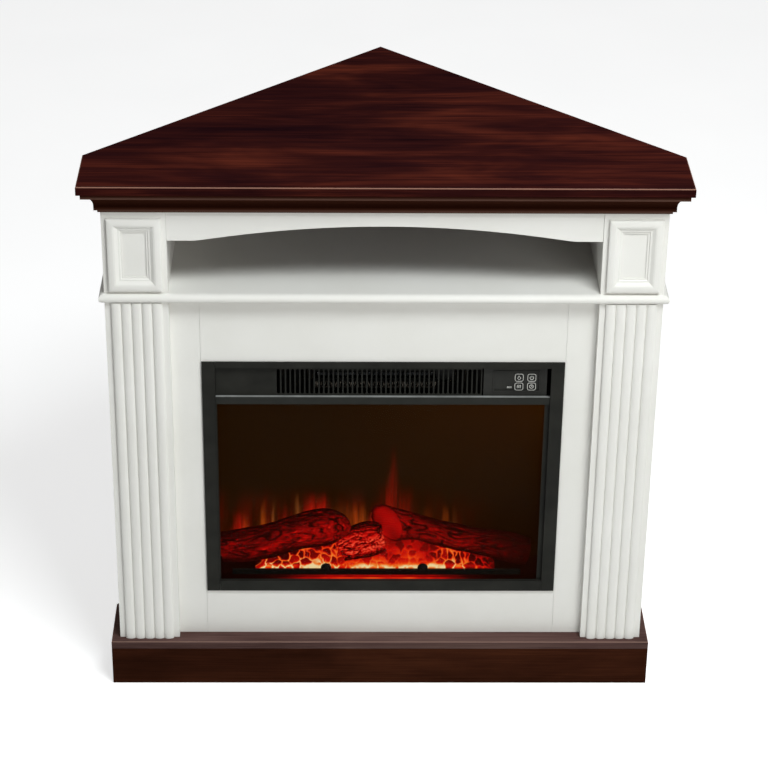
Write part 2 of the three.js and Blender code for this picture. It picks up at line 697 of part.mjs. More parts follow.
function addLowerBody(mantel) {
  pair(mantel, 'pilaster', prism('z', pilasterPlan(), BODY_BOTTOM, LOWER_TOP), WHITE_PAINT);
  const side = sidePlan(BODY_HALF, FASCIA_FRONT, BODY_WALL);
  pair(mantel, 'side_panel', prism('z', side, BODY_BOTTOM, LOWER_TOP), WHITE_PAINT);
  const inner = FASCIA_HALF + JOINT;
  const back = FASCIA_FRONT + BOARD;
  const filler = box(inner, SIDE_INNER - JOINT, FASCIA_FRONT, back, BODY_BOTTOM, LOWER_TOP);
  pair(mantel, 'return_panel', filler, WHITE_PAINT);
}

const rectangle = (u0, u1, v0, v1) => [[u0, v0], [u1, v0], [u1, v1], [u0, v1]];

function addFascia(mantel) {
  const face = rectangle(-FASCIA_HALF, FASCIA_HALF, BODY_BOTTOM, LOWER_TOP);
  const bottom = INSERT_BOTTOM + CUTOUT_BOTTOM;
  const hole = rectangle(-CUTOUT_HALF, CUTOUT_HALF, bottom, INSERT_BOTTOM + CUTOUT_TOP);
  const fascia = prism('y', face, FASCIA_FRONT, FASCIA_FRONT + BOARD, [hole]);
  piece(mantel, 'fascia_panel', fascia, WHITE_PAINT);
}

// Rails across the open back, halved at the apex and square to the wall planes at the sides.
function addBackRails(mantel) {
  const rail = wallRun(BODY_WALL, BOARD, JOINT, SIDE_INNER - JOINT);
  pair(mantel, 'back_rail', prism('z', rail, LOWER_TOP - RAIL_HEIGHT, LOWER_TOP), RAW_TIMBER);
}

// ---------------------------------------------------------------- insert: trim, grille and glass

// L sections of the trim: a flat face and a thin lip that turns back along the daylight edge.
function addTrim(insert) {
  const lipBack = TRIM_BACK + TRIM_LIP;
  const lipOuter = DAYLIGHT_HALF + TRIM_LIP_THICKNESS;
  const lipTop = INSERT_HEIGHT - TRIM_TOP;
  const stile = join([
    box(DAYLIGHT_HALF, INSERT_HALF, TRIM_FRONT, TRIM_BACK, 0, INSERT_HEIGHT),
    box(DAYLIGHT_HALF, lipOuter, TRIM_FRONT, lipBack, TRIM_BOTTOM, lipTop),
  ]);
  pair(insert, 'trim_stile', stile, BLACK_STEEL);
  const railSection = (outer, inner) => {
    const lip = inner + Math.sign(outer - inner) * TRIM_LIP_THICKNESS;
    return [
      [TRIM_FRONT, outer],
      [TRIM_FRONT, inner],
      [lipBack, inner],
      [lipBack, lip],
      [TRIM_BACK, lip],
      [TRIM_BACK, outer],
    ];
  };
  const end = DAYLIGHT_HALF - JOINT;
  const bottomRail = prism('x', railSection(0, TRIM_BOTTOM), -end, end);
  piece(insert, 'trim_rail_bottom', bottomRail, BLACK_STEEL);
  const topRail = prism('x', railSection(INSERT_HEIGHT, INSERT_HEIGHT - TRIM_TOP), -end, end);
  piece(insert, 'trim_rail_top', topRail, BLACK_STEEL);
}

function addGrille(insert) {
  const radius = SLOT_WIDTH / 2;
  const low = GRILLE_BOTTOM + SLOT_SEAT + radius;
  const high = GRILLE_BOTTOM + SLOT_SEAT + SLOT_HEIGHT - radius;
  const slots = [];
  for (let i = 0; i < SLOT_COUNT; i += 1) {
    const x = FIRST_SLOT + i * SLOT_PITCH;
    const upper = arc(x, high, radius, radius, 0, Math.PI, SLOT_STEPS);
    const lower = arc(x, low, radius, radius, Math.PI, 2 * Math.PI, SLOT_STEPS);
    slots.push([...upper, ...lower]);
  }
  const sheet = rectangle(GRILLE_LEFT, GRILLE_RIGHT, GRILLE_BOTTOM, GRILLE_TOP);
  const grille = prism('y', sheet, GRILLE_FRONT, GRILLE_FRONT + GRILLE_SHEET, slots);
  piece(insert, 'grille_panel', grille, BLACK_STEEL);
}

function addHeaderAndGlass(insert) {
  const front = TRIM_FRONT + HEADER_RECESS;
  const header = [
    [front, HEADER_BOTTOM],
    [front + SHEET, HEADER_BOTTOM],
    [front + SHEET, HEADER_TOP - SHEET],
    [GRILLE_FRONT, HEADER_TOP - SHEET],
    [GRILLE_FRONT, HEADER_TOP],
    [front, HEADER_TOP],
  ];
  const end = DAYLIGHT_HALF - JOINT;
  piece(insert, 'glass_header', prism('x', header, -end, end), BLACK_STEEL);
  const half = ROOM_HALF - JOINT;
  const pane = box(-half, half, GLASS_FRONT, GLASS_BACK, ROOM_FLOOR + JOINT, GLASS_TOP);
  piece(insert, 'glass_pane', pane, SMOKED_GLASS);
}

// ---------------------------------------------------------------- insert: housing

function addHousing(insert) {
  const back = INSERT_DEPTH;
  const shell = box(-HOUSING_HALF, HOUSING_HALF, HOUSING_FRONT, back, HOUSING_BOTTOM, HOUSING_TOP);
  const room = box(-ROOM_HALF, ROOM_HALF, 0, ROOM_BACK, ROOM_FLOOR, ROOM_TOP);
  const vents = [];
  const ventTop = ROOM_TOP - BOARD;
  for (let i = 0; i < VENT_COUNT; i += 1) {
    const x = (i - (VENT_COUNT - 1) / 2) * VENT_PITCH;
    const left = x - VENT_WIDTH / 2;
    vents.push(box(left, left + VENT_WIDTH, ROOM_BACK - 1, back + 1, ventTop - VENT_HEIGHT, ventTop));
  }
  const hole = rod('y', GLAND_HOLE / 2, ROOM_BACK - 1, back + 1, GLAND_X, ROOM_FLOOR + GLAND_RISE);
  const tub = cut(shell, [room, hole, ...vents]);
  const flangeBack = HOUSING_FRONT + SHEET;
  const flangeTop = HEADER_BOTTOM + GLASS_TUCK / 2;
  const flanges = [
    box(-HOUSING_HALF, -DAYLIGHT_HALF + FLANGE_LEFT, HOUSING_FRONT, flangeBack, HOUSING_BOTTOM, flangeTop),
    box(DAYLIGHT_HALF - FLANGE_RIGHT, HOUSING_HALF, HOUSING_FRONT, flangeBack, HOUSING_BOTTOM, flangeTop),
  ];
  piece(insert, 'firebox_housing', join([tub, ...flanges]), BLACK_STEEL);
  const deckHalf = ROOM_HALF - JOINT;
  const deck = box(-deckHalf, deckHalf, DECK_FRONT, ROOM_BACK - JOINT, DECK_BOTTOM, DECK_TOP);
  piece(insert, 'heater_deck', deck, GALVANISED);
}

function addCordGland(insert) {
  const neck = GLAND_HOLE / 2 - JOINT;
  const flangeFront = INSERT_DEPTH + JOINT;
  const profile = [
    [GLAND_BORE / 2, ROOM_BACK - SHEET],
    [neck, ROOM_BACK - SHEET],
    [neck, flangeFront],
    [GLAND_FLANGE / 2, flangeFront],
    [GLAND_FLANGE / 2, flangeFront + 2 * SHEET],
    [neck + SHEET, flangeFront + 2 * SHEET],
    [GLAND_BORE / 2 + SHEET, flangeFront + GLAND_LENGTH],
    [GLAND_BORE / 2, flangeFront + GLAND_LENGTH],
  ];
  const points = [...profile, profile[0]].map(([r, y]) => new THREE.Vector2(r, y));
  const gland = new THREE.LatheGeometry(points, ROUND_SIDES);
  gland.translate(GLAND_X, 0, ROOM_FLOOR + GLAND_RISE);
  piece(insert, 'cord_gland', fromManifold(toManifold(gland)), BLACK_PLASTIC);
}

// ---------------------------------------------------------------- insert: heater

// A finned element: a zigzag strip between two bars, on two feet that stand on the deck.
function addHeaterElement(insert) {
  const left = HEATER_CENTRE - HEATER_WIDTH / 2;
  const bottom = DECK_TOP + HEATER_RISE;
  const top = bottom + HEATER_HEIGHT;
  const pitch = HEATER_WIDTH / FIN_COUNT;
  const low = bottom + HEATER_BAR;
  const high = top - HEATER_BAR;
  const gaps = [];
  for (let i = 0; i < FIN_COUNT; i += 1) {
    const x = left + i * pitch;
    const middle = x + pitch / 2;
    const end = x + pitch;
    gaps.push([[x + FIN_SHEET, low], [end - FIN_SHEET, low], [middle, high - FIN_SHEET]]);
    if (i < FIN_COUNT - 1) {
      const next = middle + pitch;
      gaps.push([[middle + FIN_SHEET, high], [end, low + FIN_SHEET], [next - FIN_SHEET, high]]);
    }
  }
  const foot = DECK_TOP + JOINT;
  const outline = [
    [left - HEATER_FOOT, foot],
    [left, foot],
    [left, bottom],
    [left + HEATER_WIDTH, bottom],
    [left + HEATER_WIDTH, foot],
    [left + HEATER_WIDTH + HEATER_FOOT, foot],
    [left + HEATER_WIDTH + HEATER_FOOT, top],
    [left - HEATER_FOOT, top],
  ];
  const front = DECK_FRONT + HEATER_DEPTH;
  const body = prism('y', outline, front, front + HEATER_DEPTH);
  const gapTools = gaps.map((gap) => prism('y', gap, front - 1, front + HEATER_DEPTH + 1));
  piece(insert, 'heater_element', cut(body, gapTools), BRIGHT_METAL);
}

const BLOWER_LEFT = HEATER_CENTRE - HEATER_WIDTH / 2 - HEATER_FOOT;
const BLOWER_RIGHT = HEATER_CENTRE + HEATER_WIDTH / 2 + HEATER_FOOT;
const BLOWER_FRONT = DECK_FRONT + 2 * HEATER_DEPTH + BLOWER_GAP;
const BLOWER_Y = BLOWER_FRONT + BLOWER_DEPTH / 2;
const BLOWER_BOTTOM = DECK_TOP + JOINT;
const BLOWER_Z = BLOWER_BOTTOM + BLOWER_PLATE + BLOWER_RADIUS + BLOWER_CLEARANCE;

function addBlowerHousing(insert) {
  const bore = BLOWER_RADIUS + BLOWER_CLEARANCE;
  const top = BLOWER_Z + bore + BLOWER_PLATE;
  const back = BLOWER_FRONT + BLOWER_DEPTH;
  const inner = [BLOWER_LEFT + BLOWER_PLATE, BLOWER_RIGHT - BLOWER_PLATE];
  const body = box(BLOWER_LEFT, BLOWER_RIGHT, BLOWER_FRONT, back, BLOWER_BOTTOM, top);
  const drum = rod('x', bore, ...inner, BLOWER_Y, BLOWER_Z, DRUM_SIDES);
  const [mouthSpan, intakeSpan] = [MOUTH_SPAN, INTAKE_SPAN].map((span) =>
    span.map((share) => BLOWER_Z + share * bore));
  const mouth = box(...inner, BLOWER_FRONT - 1, BLOWER_Y, ...mouthSpan);
  const intake = box(...inner, BLOWER_Y, back + 1, ...intakeSpan);
  const shaftBore = BLOWER_SHAFT / 2 + SPINDLE_CLEARANCE;
  const shaft = rod('x', shaftBore, BLOWER_LEFT - 1, BLOWER_RIGHT + 1, BLOWER_Y, BLOWER_Z);
  piece(insert, 'blower_housing', cut(body, [drum, mouth, intake, shaft]), GALVANISED);
}

function addBlowerWheel(insert) {
  const left = BLOWER_LEFT + BLOWER_PLATE + BLOWER_GAP;
  const right = BLOWER_RIGHT - BLOWER_PLATE - BLOWER_GAP;
  const disc = BLOWER_DISC;
  const shaftEnd = BLOWER_RIGHT + SHAFT_OVERHANG;
  const solids = [
    rod('x', BLOWER_RADIUS, left, left + disc, BLOWER_Y, BLOWER_Z, BLOWER_BLADES),
    rod('x', BLOWER_RADIUS, right - disc, right, BLOWER_Y, BLOWER_Z, BLOWER_BLADES),
    rod('x', BLOWER_SHAFT / 2, BLOWER_LEFT + JOINT, left + disc, BLOWER_Y, BLOWER_Z, SHAFT_SIDES),
    rod('x', BLOWER_SHAFT / 2, right - disc, shaftEnd, BLOWER_Y, BLOWER_Z, SHAFT_SIDES),
  ];
  for (let i = 0; i < BLOWER_BLADES; i += 1) {
    const start = left + disc / 2;
    const blade = centredBox((left + right) / 2, 0, right - disc / 2 - start, BLADE_CHORD, 0, BLADE_SHEET);
    blade.translate(0, -BLADE_SHEET / 2, 0);
    blade.rotateX(BLADE_TILT);
    blade.translate(0, 0, BLOWER_RADIUS - BLADE_INSET);
    blade.rotateX((2 * Math.PI * i) / BLOWER_BLADES);
    blade.translate(0, BLOWER_Y, BLOWER_Z);
    solids.push(blade);
  }
  piece(insert, 'blower_wheel', join(solids), GALVANISED);
}

function addBlowerMotor(insert) {
  const left = BLOWER_RIGHT + JOINT;
  const radius = BLOWER_MOTOR_DIAMETER / 2;
  const can = rod('x', radius, left, left + BLOWER_MOTOR_LENGTH, BLOWER_Y, BLOWER_Z);
  const bore = BLOWER_SHAFT / 2 + SPINDLE_CLEARANCE;
  const socketEnd = BLOWER_RIGHT + SHAFT_OVERHANG + JOINT;
  const socket = rod('x', bore, left - 1, socketEnd, BLOWER_Y, BLOWER_Z);
  piece(insert, 'blower_motor', cut(can, [socket]), BLACK_PLASTIC);
}

// ---------------------------------------------------------------- insert: controls

const BEZEL_FRONT = GRILLE_FRONT - BEZEL_RISE;
const PLATE_FRONT = BEZEL_FRONT + BEZEL_POCKET;
const PLATE_BACK = BEZEL_FRONT + BEZEL_TUB;
const BUTTON_FRONT = PLATE_FRONT - BUTTON_PROUD;
const FLANGE_FRONT = PLATE_BACK + JOINT;
const FLANGE_BACK = FLANGE_FRONT + BUTTON_FLANGE;
const SWITCH_FRONT = FLANGE_BACK + BUTTON_TRAVEL + JOINT;
const CIRCUIT_FRONT = SWITCH_FRONT + SWITCH_HEIGHT;
const BUTTONS = [
  ['button_power', 1, 1],
  ['button_timer', 1, -1],
  ['button_flame', -1, 1],
  ['button_heat', -1, -1],
].map(([name, signX, signZ]) => ({
  name,
  x: BEZEL_CENTRE + BUTTON_OFFSET_X + (signX * BUTTON_PITCH_X) / 2,
  z: GRILLE_MIDDLE + BUTTON_OFFSET_Z + (signZ * BUTTON_PITCH_Z) / 2,
}));

// The control plate beside the grille, with a raised rim around a sunk plate that guides the buttons.
function addControlPanel(insert) {
  const [x, z] = [BEZEL_CENTRE, GRILLE_MIDDLE];
  const sheetBack = GRILLE_FRONT + CONTROL_SHEET;
  const sheet = box(CONTROL_LEFT, CONTROL_RIGHT, GRILLE_FRONT, sheetBack, GRILLE_BOTTOM, GRILLE_TOP);
  const rim = roundedRectangle(x, z, BEZEL_WIDTH, BEZEL_HEIGHT, BEZEL_RADIUS, EASED_STEPS);
  const tub = prism('y', rim, BEZEL_FRONT, PLATE_BACK);
  const inner = [BEZEL_WIDTH - 2 * BEZEL_RIM, BEZEL_HEIGHT - 2 * BEZEL_RIM];
  const pocket = centredBox(x, z, ...inner, BEZEL_FRONT - 1, PLATE_FRONT);
  const holeSize = BUTTON_SIZE + 2 * BUTTON_CLEARANCE;
  const holes = BUTTONS.map((button) => {
    const outline = roundedRectangle(button.x, button.z, holeSize, holeSize, BUTTON_RADIUS, 4);
    return prism('y', outline, PLATE_FRONT - 1, PLATE_BACK + 1);
  });
  piece(insert, 'control_panel', cut(join([sheet, tub]), [pocket, ...holes]), BLACK_PLASTIC);
}

function addButtons(insert) {
  const corner = BUTTON_RADIUS - BUTTON_CLEARANCE;
  const flangeSize = BUTTON_SIZE + 2 * BUTTON_LEDGE;
  for (const { name, x, z } of BUTTONS) {
    const face = roundedRectangle(x, z, BUTTON_SIZE, BUTTON_SIZE, corner, 4);
    const cap = prism('y', face, BUTTON_FRONT, FLANGE_FRONT + BUTTON_FLANGE / 2);
    const flange = centredBox(x, z, flangeSize + BUTTON_LEDGE, flangeSize, FLANGE_FRONT, FLANGE_BACK);
    piece(insert, name, join([cap, flange]), BLACK_PLASTIC);
  }
}

function addControlBoard(insert) {
  const [x, z] = [BEZEL_CENTRE, GRILLE_MIDDLE];
  const boardBack = CIRCUIT_FRONT + CIRCUIT_BOARD;
  const solids = [centredBox(x, z, BEZEL_WIDTH, BEZEL_HEIGHT, CIRCUIT_FRONT, boardBack)];
  for (const button of BUTTONS) {
    const back = CIRCUIT_FRONT + CIRCUIT_BOARD / 2;
    solids.push(centredBox(button.x, button.z, SWITCH_SIZE, SWITCH_SIZE, SWITCH_FRONT, back));
  }
  const inset = SPACER_DIAMETER / 2 + JOINT;
  for (const [signX, signZ] of [[-1, -1], [1, -1], [1, 1], [-1, 1]]) {
    const spacerX = x + signX * (BEZEL_WIDTH / 2 - inset);
    const spacerZ = z + signZ * (BEZEL_HEIGHT / 2 - inset);
    const start = PLATE_BACK + JOINT;
    const end = CIRCUIT_FRONT + CIRCUIT_BOARD / 2;
    solids.push(rod('y', SPACER_DIAMETER / 2, start, end, spacerX, spacerZ, SHAFT_SIDES));
  }
  piece(insert, 'control_board', join(solids), CIRCUIT);
}

// ---------------------------------------------------------------- insert: flame effect

function addFlameScreen(insert) {
  const half = ROOM_HALF - JOINT;
  const low = ROOM_FLOOR + JOINT;
  const high = DECK_BOTTOM - JOINT;
  const screen = box(-half, half, SCREEN_FRONT, SCREEN_BACK, low, high);
  piece(insert, 'flame_screen', screen, FLAME_FILM);
  const back = ROOM_BACK - REFLECTOR_GAP;
  const bend = arc(back - REFLECTOR_BEND, high - REFLECTOR_BEND, 1, 1, 0, Math.PI / 2, 5);
  const turned = (radius) => bend.map(([y, z]) => [
    back - REFLECTOR_BEND + (y - back + REFLECTOR_BEND) * radius,
    high - REFLECTOR_BEND + (z - high + REFLECTOR_BEND) * radius,
  ]);
  const outline = [
    [back, low],
    ...turned(REFLECTOR_BEND),
    ...turned(REFLECTOR_BEND - SHEET).reverse(),
    [back - SHEET, low],
  ];
  piece(insert, 'back_reflector', prism('x', outline, -half, half), BRIGHT_METAL);
}

// A shaft with pairs of crossed mirror flakes that throw light up on the screen as it turns.
function addSpindle(insert) {
  const wall = ROOM_HALF - JOINT;
  const radius = SPINDLE_DIAMETER / 2;
  const start = -wall + BUSH_CAP + JOINT;
  const end = wall - SPINDLE_MOTOR_LENGTH - JOINT;
  const solids = [rod('x', radius, start, end, 0, 0, SHAFT_SIDES)];
  const first = -wall + BUSH_LENGTH + FLAKE_WIDTH;
  const last = end - SPINDLE_BOSS_LENGTH - FLAKE_WIDTH;
  const half = { width: FLAKE_WIDTH / 2, sheet: FLAKE_SHEET / 2 };
  for (let i = 0; i < FLAKE_COUNT; i += 1) {
    const x = first + ((last - first) * i) / (FLAKE_COUNT - 1);
    const flake = box(-half.width, half.width, -half.sheet, half.sheet, -FLAKE_REACH, FLAKE_REACH);
    flake.rotateX(i * FLAKE_TURN);
    flake.translate(x, 0, 0);
    solids.push(flake);
  }
  const spindle = join(solids).translate(0, SPINDLE_Y, SPINDLE_Z);
  piece(insert, 'flame_spindle', spindle, BRIGHT_METAL);
}

function addSpindleBush(insert) {
  const wall = ROOM_HALF - JOINT;
  const end = -wall + BUSH_LENGTH;
  const half = BUSH_SIZE / 2;
  const foot = ROOM_FLOOR + JOINT;
  const block = box(-wall, end, SPINDLE_Y - half, SPINDLE_Y + half, foot, SPINDLE_Z + half);
  const bore = SPINDLE_DIAMETER / 2 + SPINDLE_CLEARANCE;
  const socket = rod('x', bore, -wall + BUSH_CAP, end + 1, SPINDLE_Y, SPINDLE_Z);
  piece(insert, 'spindle_bush', cut(block, [socket]), BLACK_PLASTIC);
}

function addSpindleMotor(insert) {
  const wall = ROOM_HALF - JOINT;
  const bossEnd = wall - SPINDLE_MOTOR_LENGTH;
  const can = rod('x', SPINDLE_MOTOR_DIAMETER / 2, bossEnd, wall, SPINDLE_Y, SPINDLE_Z);
  const bossStart = bossEnd - SPINDLE_BOSS_LENGTH;
  const boss = rod('x', SPINDLE_BOSS_DIAMETER / 2, bossStart, bossEnd + 1, SPINDLE_Y, SPINDLE_Z);
  const bore = SPINDLE_DIAMETER / 2 + SPINDLE_CLEARANCE;
  const socket = rod('x', bore, bossStart - 1, bossEnd, SPINDLE_Y, SPINDLE_Z);
  piece(insert, 'spindle_motor', cut(join([can, boss]), [socket]), GALVANISED);
}

// ---------------------------------------------------------------- insert: logs and embers

const LOG_AROUND = 24;
const LOG_ALONG = 14;
const LOG_GAP = 0.4; // a log from its neighbours and from the coals
const LOG_DEPTH = 38; // middle of the long logs behind the glass
const BARK_LOBES = 3;
const BARK_LOBE_RISE = 0.035; // as a share of the radius
const BARK_RIDGES = 8;
const BARK_RIDGE_RISE = 0.03;
const BARK_TWIST = 4; // turn of the lobes from end to end, in radians

// A log through stations [x, depth behind the glass, height over the apron, radius]. Bark ridges run
// along it; spread widens it in depth, slant turns its left end face towards the viewer.
function logBody({ stations, spread = 1, slant = 0, phase }, swell = 0) {
  const middles = stations.map(([x, depth, rise]) =>
    new THREE.Vector3(x, GLASS_BACK + depth, APRON_TOP + rise));
  const radii = stations.map(([, , , radius], i) => new THREE.Vector3(i, radius, 0));
  const axis = new THREE.CatmullRomCurve3(middles);
  const girth = new THREE.CatmullRomCurve3(radii);
  const rings = [];
  for (let i = 0; i <= LOG_ALONG; i += 1) {
    const t = i / LOG_ALONG;
    const tangent = axis.getTangent(t);
    const out = new THREE.Vector3(0, 1, 0).addScaledVector(tangent, -tangent.y).normalize();
    const up = new THREE.Vector3().crossVectors(tangent, out);
    const radius = girth.getPoint(t).y + swell;
    const ring = [];
    for (let k = 0; k < LOG_AROUND; k += 1) {
      const angle = (2 * Math.PI * k) / LOG_AROUND;
      const lobe = BARK_LOBE_RISE * Math.sin(BARK_LOBES * angle + BARK_TWIST * t + phase);
      const ridge = BARK_RIDGE_RISE * Math.sin(BARK_RIDGES * angle - BARK_TWIST * t + phase);
      const reach = radius * (1 + lobe + ridge);
      const point = axis.getPoint(t);
      point.addScaledVector(out, spread * reach * Math.cos(angle));
      point.addScaledVector(up, reach * Math.sin(angle));
      point.addScaledVector(tangent, -slant * (1 - t) ** 4 * reach * Math.cos(angle));
      ring.push(point);
    }
    rings.push(ring);
  }
  const points = rings.flat().map((point) => point.toArray());
  const triangles = ringFaces(rings.length, LOG_AROUND, false);
  const last = LOG_ALONG * LOG_AROUND;
  for (const ring of [rings[0], rings[LOG_ALONG]]) {
    const centre = ring.reduce((sum, point) => sum.add(point), new THREE.Vector3());
    points.push(centre.divideScalar(LOG_AROUND).toArray());
  }
  for (let k = 0; k < LOG_AROUND; k += 1) {
    const next = (k + 1) % LOG_AROUND;
    triangles.push([points.length - 2, next, k]);
    triangles.push([points.length - 1, last + k, last + next]);
  }
  return closedBody(points, triangles);
}

const LEFT_LOG = {
  phase: 0.4,
  stations: [
    [-271, LOG_DEPTH, 38, 26],
    [-235, LOG_DEPTH, 42, 29],
    [-188, LOG_DEPTH, 52, 29.5],
    [-150, LOG_DEPTH, 66, 29.5],
    [-118, LOG_DEPTH, 75, 31.5],
    [-96, LOG_DEPTH, 78, 32],
    [-80, LOG_DEPTH, 77.5, 29],
    [-68, LOG_DEPTH, 75, 23],
    [-60, LOG_DEPTH, 71, 15],
    [-56, LOG_DEPTH, 68, 8],
  ],
};
const RIGHT_LOG = {
  phase: 2.1,
  slant: -0.83,
  stations: [
    [11, LOG_DEPTH, 88, 30],
    [36, LOG_DEPTH, 84, 25.5],
    [61, LOG_DEPTH, 79, 22],
    [93, LOG_DEPTH, 68, 22],
    [131, LOG_DEPTH, 58, 22.5],
    [162, LOG_DEPTH, 50, 22.5],
    [190, LOG_DEPTH, 45, 24.5],
    [227, LOG_DEPTH, 35.5, 26],
    [252, LOG_DEPTH, 29, 24],
  ],
};
const CENTRE_LOG = {
  phase: 4.2,
  spread: 1.25,
  stations: [
    [-68, 32, 38, 21],
    [-52, 34, 44, 25],
    [-34, 36, 51, 28],
    [-14, 38, 56, 28],
    [4, 40, 58, 22],
  ],
};

function addLogs(insert) {
  piece(insert, 'log_left', logBody(LEFT_LOG), LOG_RESIN);
  piece(insert, 'log_right', logBody(RIGHT_LOG), LOG_RESIN);
  const neighbours = [logBody(LEFT_LOG, LOG_GAP), logBody(RIGHT_LOG, LOG_GAP)];
  piece(insert, 'log_centre', cut(logBody(CENTRE_LOG), neighbours), LOG_RESIN);
}

// Height of the coals over the apron: a long mound of rounded lumps that climbs towards the logs.
function coalHeight(x, depth) {
  const along = Math.max(0, 1 - Math.abs(x - MOUND_CENTRE) / MOUND_HALF);
  const crest = MOUND_TOE + (MOUND_HEIGHT - MOUND_TOE) * Math.min(1, MOUND_END_SLOPE * along);
  const climb = Math.min(1, depth / MOUND_CLIMB);
  const fade = Math.min(1, 12 * along);
  const driftX = COAL_DRIFT * Math.sin(depth / COAL_DRIFT_LENGTH);
  const driftY = COAL_DRIFT * Math.sin(x / COAL_DRIFT_LENGTH);
  const lumpX = Math.sin((Math.PI * x) / COAL_SIZE + driftX);
  const lumpY = Math.sin((Math.PI * depth) / COAL_SIZE + driftY);
  return fade * (MOUND_TOE + (crest - MOUND_TOE) * climb + COAL_RISE * lumpX * lumpY);
}

function coalField(bottom) {
  const [columns, rows] = [COAL_COLUMNS, COAL_ROWS];
  const front = FENDER_BACK + 1;
  const back = GLASS_BACK + BED_DEPTH;
  const points = [];
  for (let j = 0; j <= rows; j += 1) {
    for (let i = 0; i <= columns; i += 1) {
      const x = MOUND_CENTRE - MOUND_HALF + (2 * MOUND_HALF * i) / columns;
      const depth = ((back - front) * j) / rows;
      points.push([x, front + depth, APRON_TOP + Math.max(0.5, coalHeight(x, depth))]);
    }
  }
  const triangles = [];
  const at = (i, j) => j * (columns + 1) + i;
  for (let j = 0; j < rows; j += 1) {
    for (let i = 0; i < columns; i += 1) {
      triangles.push([at(i, j), at(i + 1, j), at(i + 1, j + 1)]);
      triangles.push([at(i, j), at(i + 1, j + 1), at(i, j + 1)]);
    }
  }
  const border = [];
  for (let i = 0; i < columns; i += 1) {
    border.push(at(i, 0));
  }
  for (let j = 0; j < rows; j += 1) {
    border.push(at(columns, j));
  }
  for (let i = columns; i > 0; i -= 1) {
    border.push(at(i, rows));
  }
  for (let j = rows; j > 0; j -= 1) {
    border.push(at(0, j));
  }
  const base = points.length;
  const contour = border.map((index) => new THREE.Vector2(points[index][0], points[index][1]));
  points.push(...contour.map(({ x, y }) => [x, y, bottom]));
  for (let k = 0; k < border.length; k += 1) {
    const next = (k + 1) % border.length;
    triangles.push([border[k], base + k, base + next]);
    triangles.push([border[k], base + next, border[next]]);
  }
  for (const [a, b, c] of THREE.ShapeUtils.triangulateShape(contour, [])) {
    triangles.push([base + a, base + c, base + b]);
  }
  return closedBody(points, triangles);
}

// One moulding: an apron on two feet, with the coals on it hollowed where the logs lie.
function addEmberBed(insert) {
  const half = ROOM_HALF - JOINT;
  const front = GLASS_BACK + JOINT;
  const back = GLASS_BACK + BED_DEPTH;
  const floor = ROOM_FLOOR + JOINT;
  const bottom = APRON_TOP - BED_THICKNESS;
  const middle = APRON_TOP - BED_THICKNESS / 2;
  const solids = [
    box(-half, half, front, back, bottom, APRON_TOP),
    box(-half, -half + BED_FOOT, front, back, floor, middle),
    box(half - BED_FOOT, half, front, back, floor, middle),
    coalField(middle),
  ];
  const seats = [LEFT_LOG, RIGHT_LOG, CENTRE_LOG].map((log) => logBody(log, LOG_GAP));
  piece(insert, 'ember_bed', cut(join(solids), seats), EMBER_RESIN);
}

function addFender(insert) {
  const low = APRON_TOP + JOINT;
  const high = low + FENDER_HEIGHT;
  const left = FENDER_CENTRE - FENDER_WIDTH / 2;
  const solids = [box(left, left + FENDER_WIDTH, FENDER_FRONT, FENDER_BACK, low, high)];
  for (const x of FENDER_BALLS) {
    const ball = new THREE.SphereGeometry(FENDER_BALL, 16, 10);
    ball.scale(1, FENDER_DEPTH / (2 * FENDER_BALL), 1);
    ball.translate(FENDER_CENTRE + x, (FENDER_FRONT + FENDER_BACK) / 2, high + FENDER_BALL_RISE);
    solids.push(ball);
  }
  piece(insert, 'fender', join(solids), BLACK_STEEL);
}

function addLedStrip(insert) {
  const low = ROOM_FLOOR + JOINT;
  const high = low + CIRCUIT_BOARD;
  const y = GLASS_BACK + BED_DEPTH / 2;
  const half = LED_STRIP_WIDTH / 2;
  const depth = LED_STRIP_DEPTH / 2;
  const solids = [box(-half, half, y - depth, y + depth, low, high)];
  for (let i = 0; i < LED_COUNT; i += 1) {
    const x = -half + (LED_STRIP_WIDTH * (i + 0.5)) / LED_COUNT;
    const [left, front] = [x - LED_SIZE / 2, y - LED_SIZE / 2];
    const middle = high - CIRCUIT_BOARD / 2;
    solids.push(box(left, left + LED_SIZE, front, front + LED_SIZE, middle, high + LED_RISE));
  }
  piece(insert, 'led_strip', join(solids), CIRCUIT);
}

// ---------------------------------------------------------------- the whole fireplace

const mantel = new THREE.Group();
addCornerBoards(mantel);
addPlinth(mantel);
addCrown(mantel);
addValance(mantel);
addCapitals(mantel);
addCompartment(mantel);
addLowerBody(mantel);
addFascia(mantel);
addBackRails(mantel);

const insert = new THREE.Group();
insert.position.set(0, FASCIA_FRONT, INSERT_BOTTOM);
addTrim(insert);
addGrille(insert);
addHeaderAndGlass(insert);
addHousing(insert);
addCordGland(insert);
addHeaterElement(insert);
addBlowerHousing(insert);
addBlowerWheel(insert);
addBlowerMotor(insert);
addControlPanel(insert);
addButtons(insert);
addControlBoard(insert);
addFlameScreen(insert);
addSpindle(insert);
addSpindleBush(insert);
addSpindleMotor(insert);
addLogs(insert);
addEmberBed(insert);
addFender(insert);
addLedStrip(insert);

object.add(mantel, insert);

export default object;
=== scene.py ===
import json
import math

import bpy
import numpy as np
from mathutils import Matrix, Vector, noise


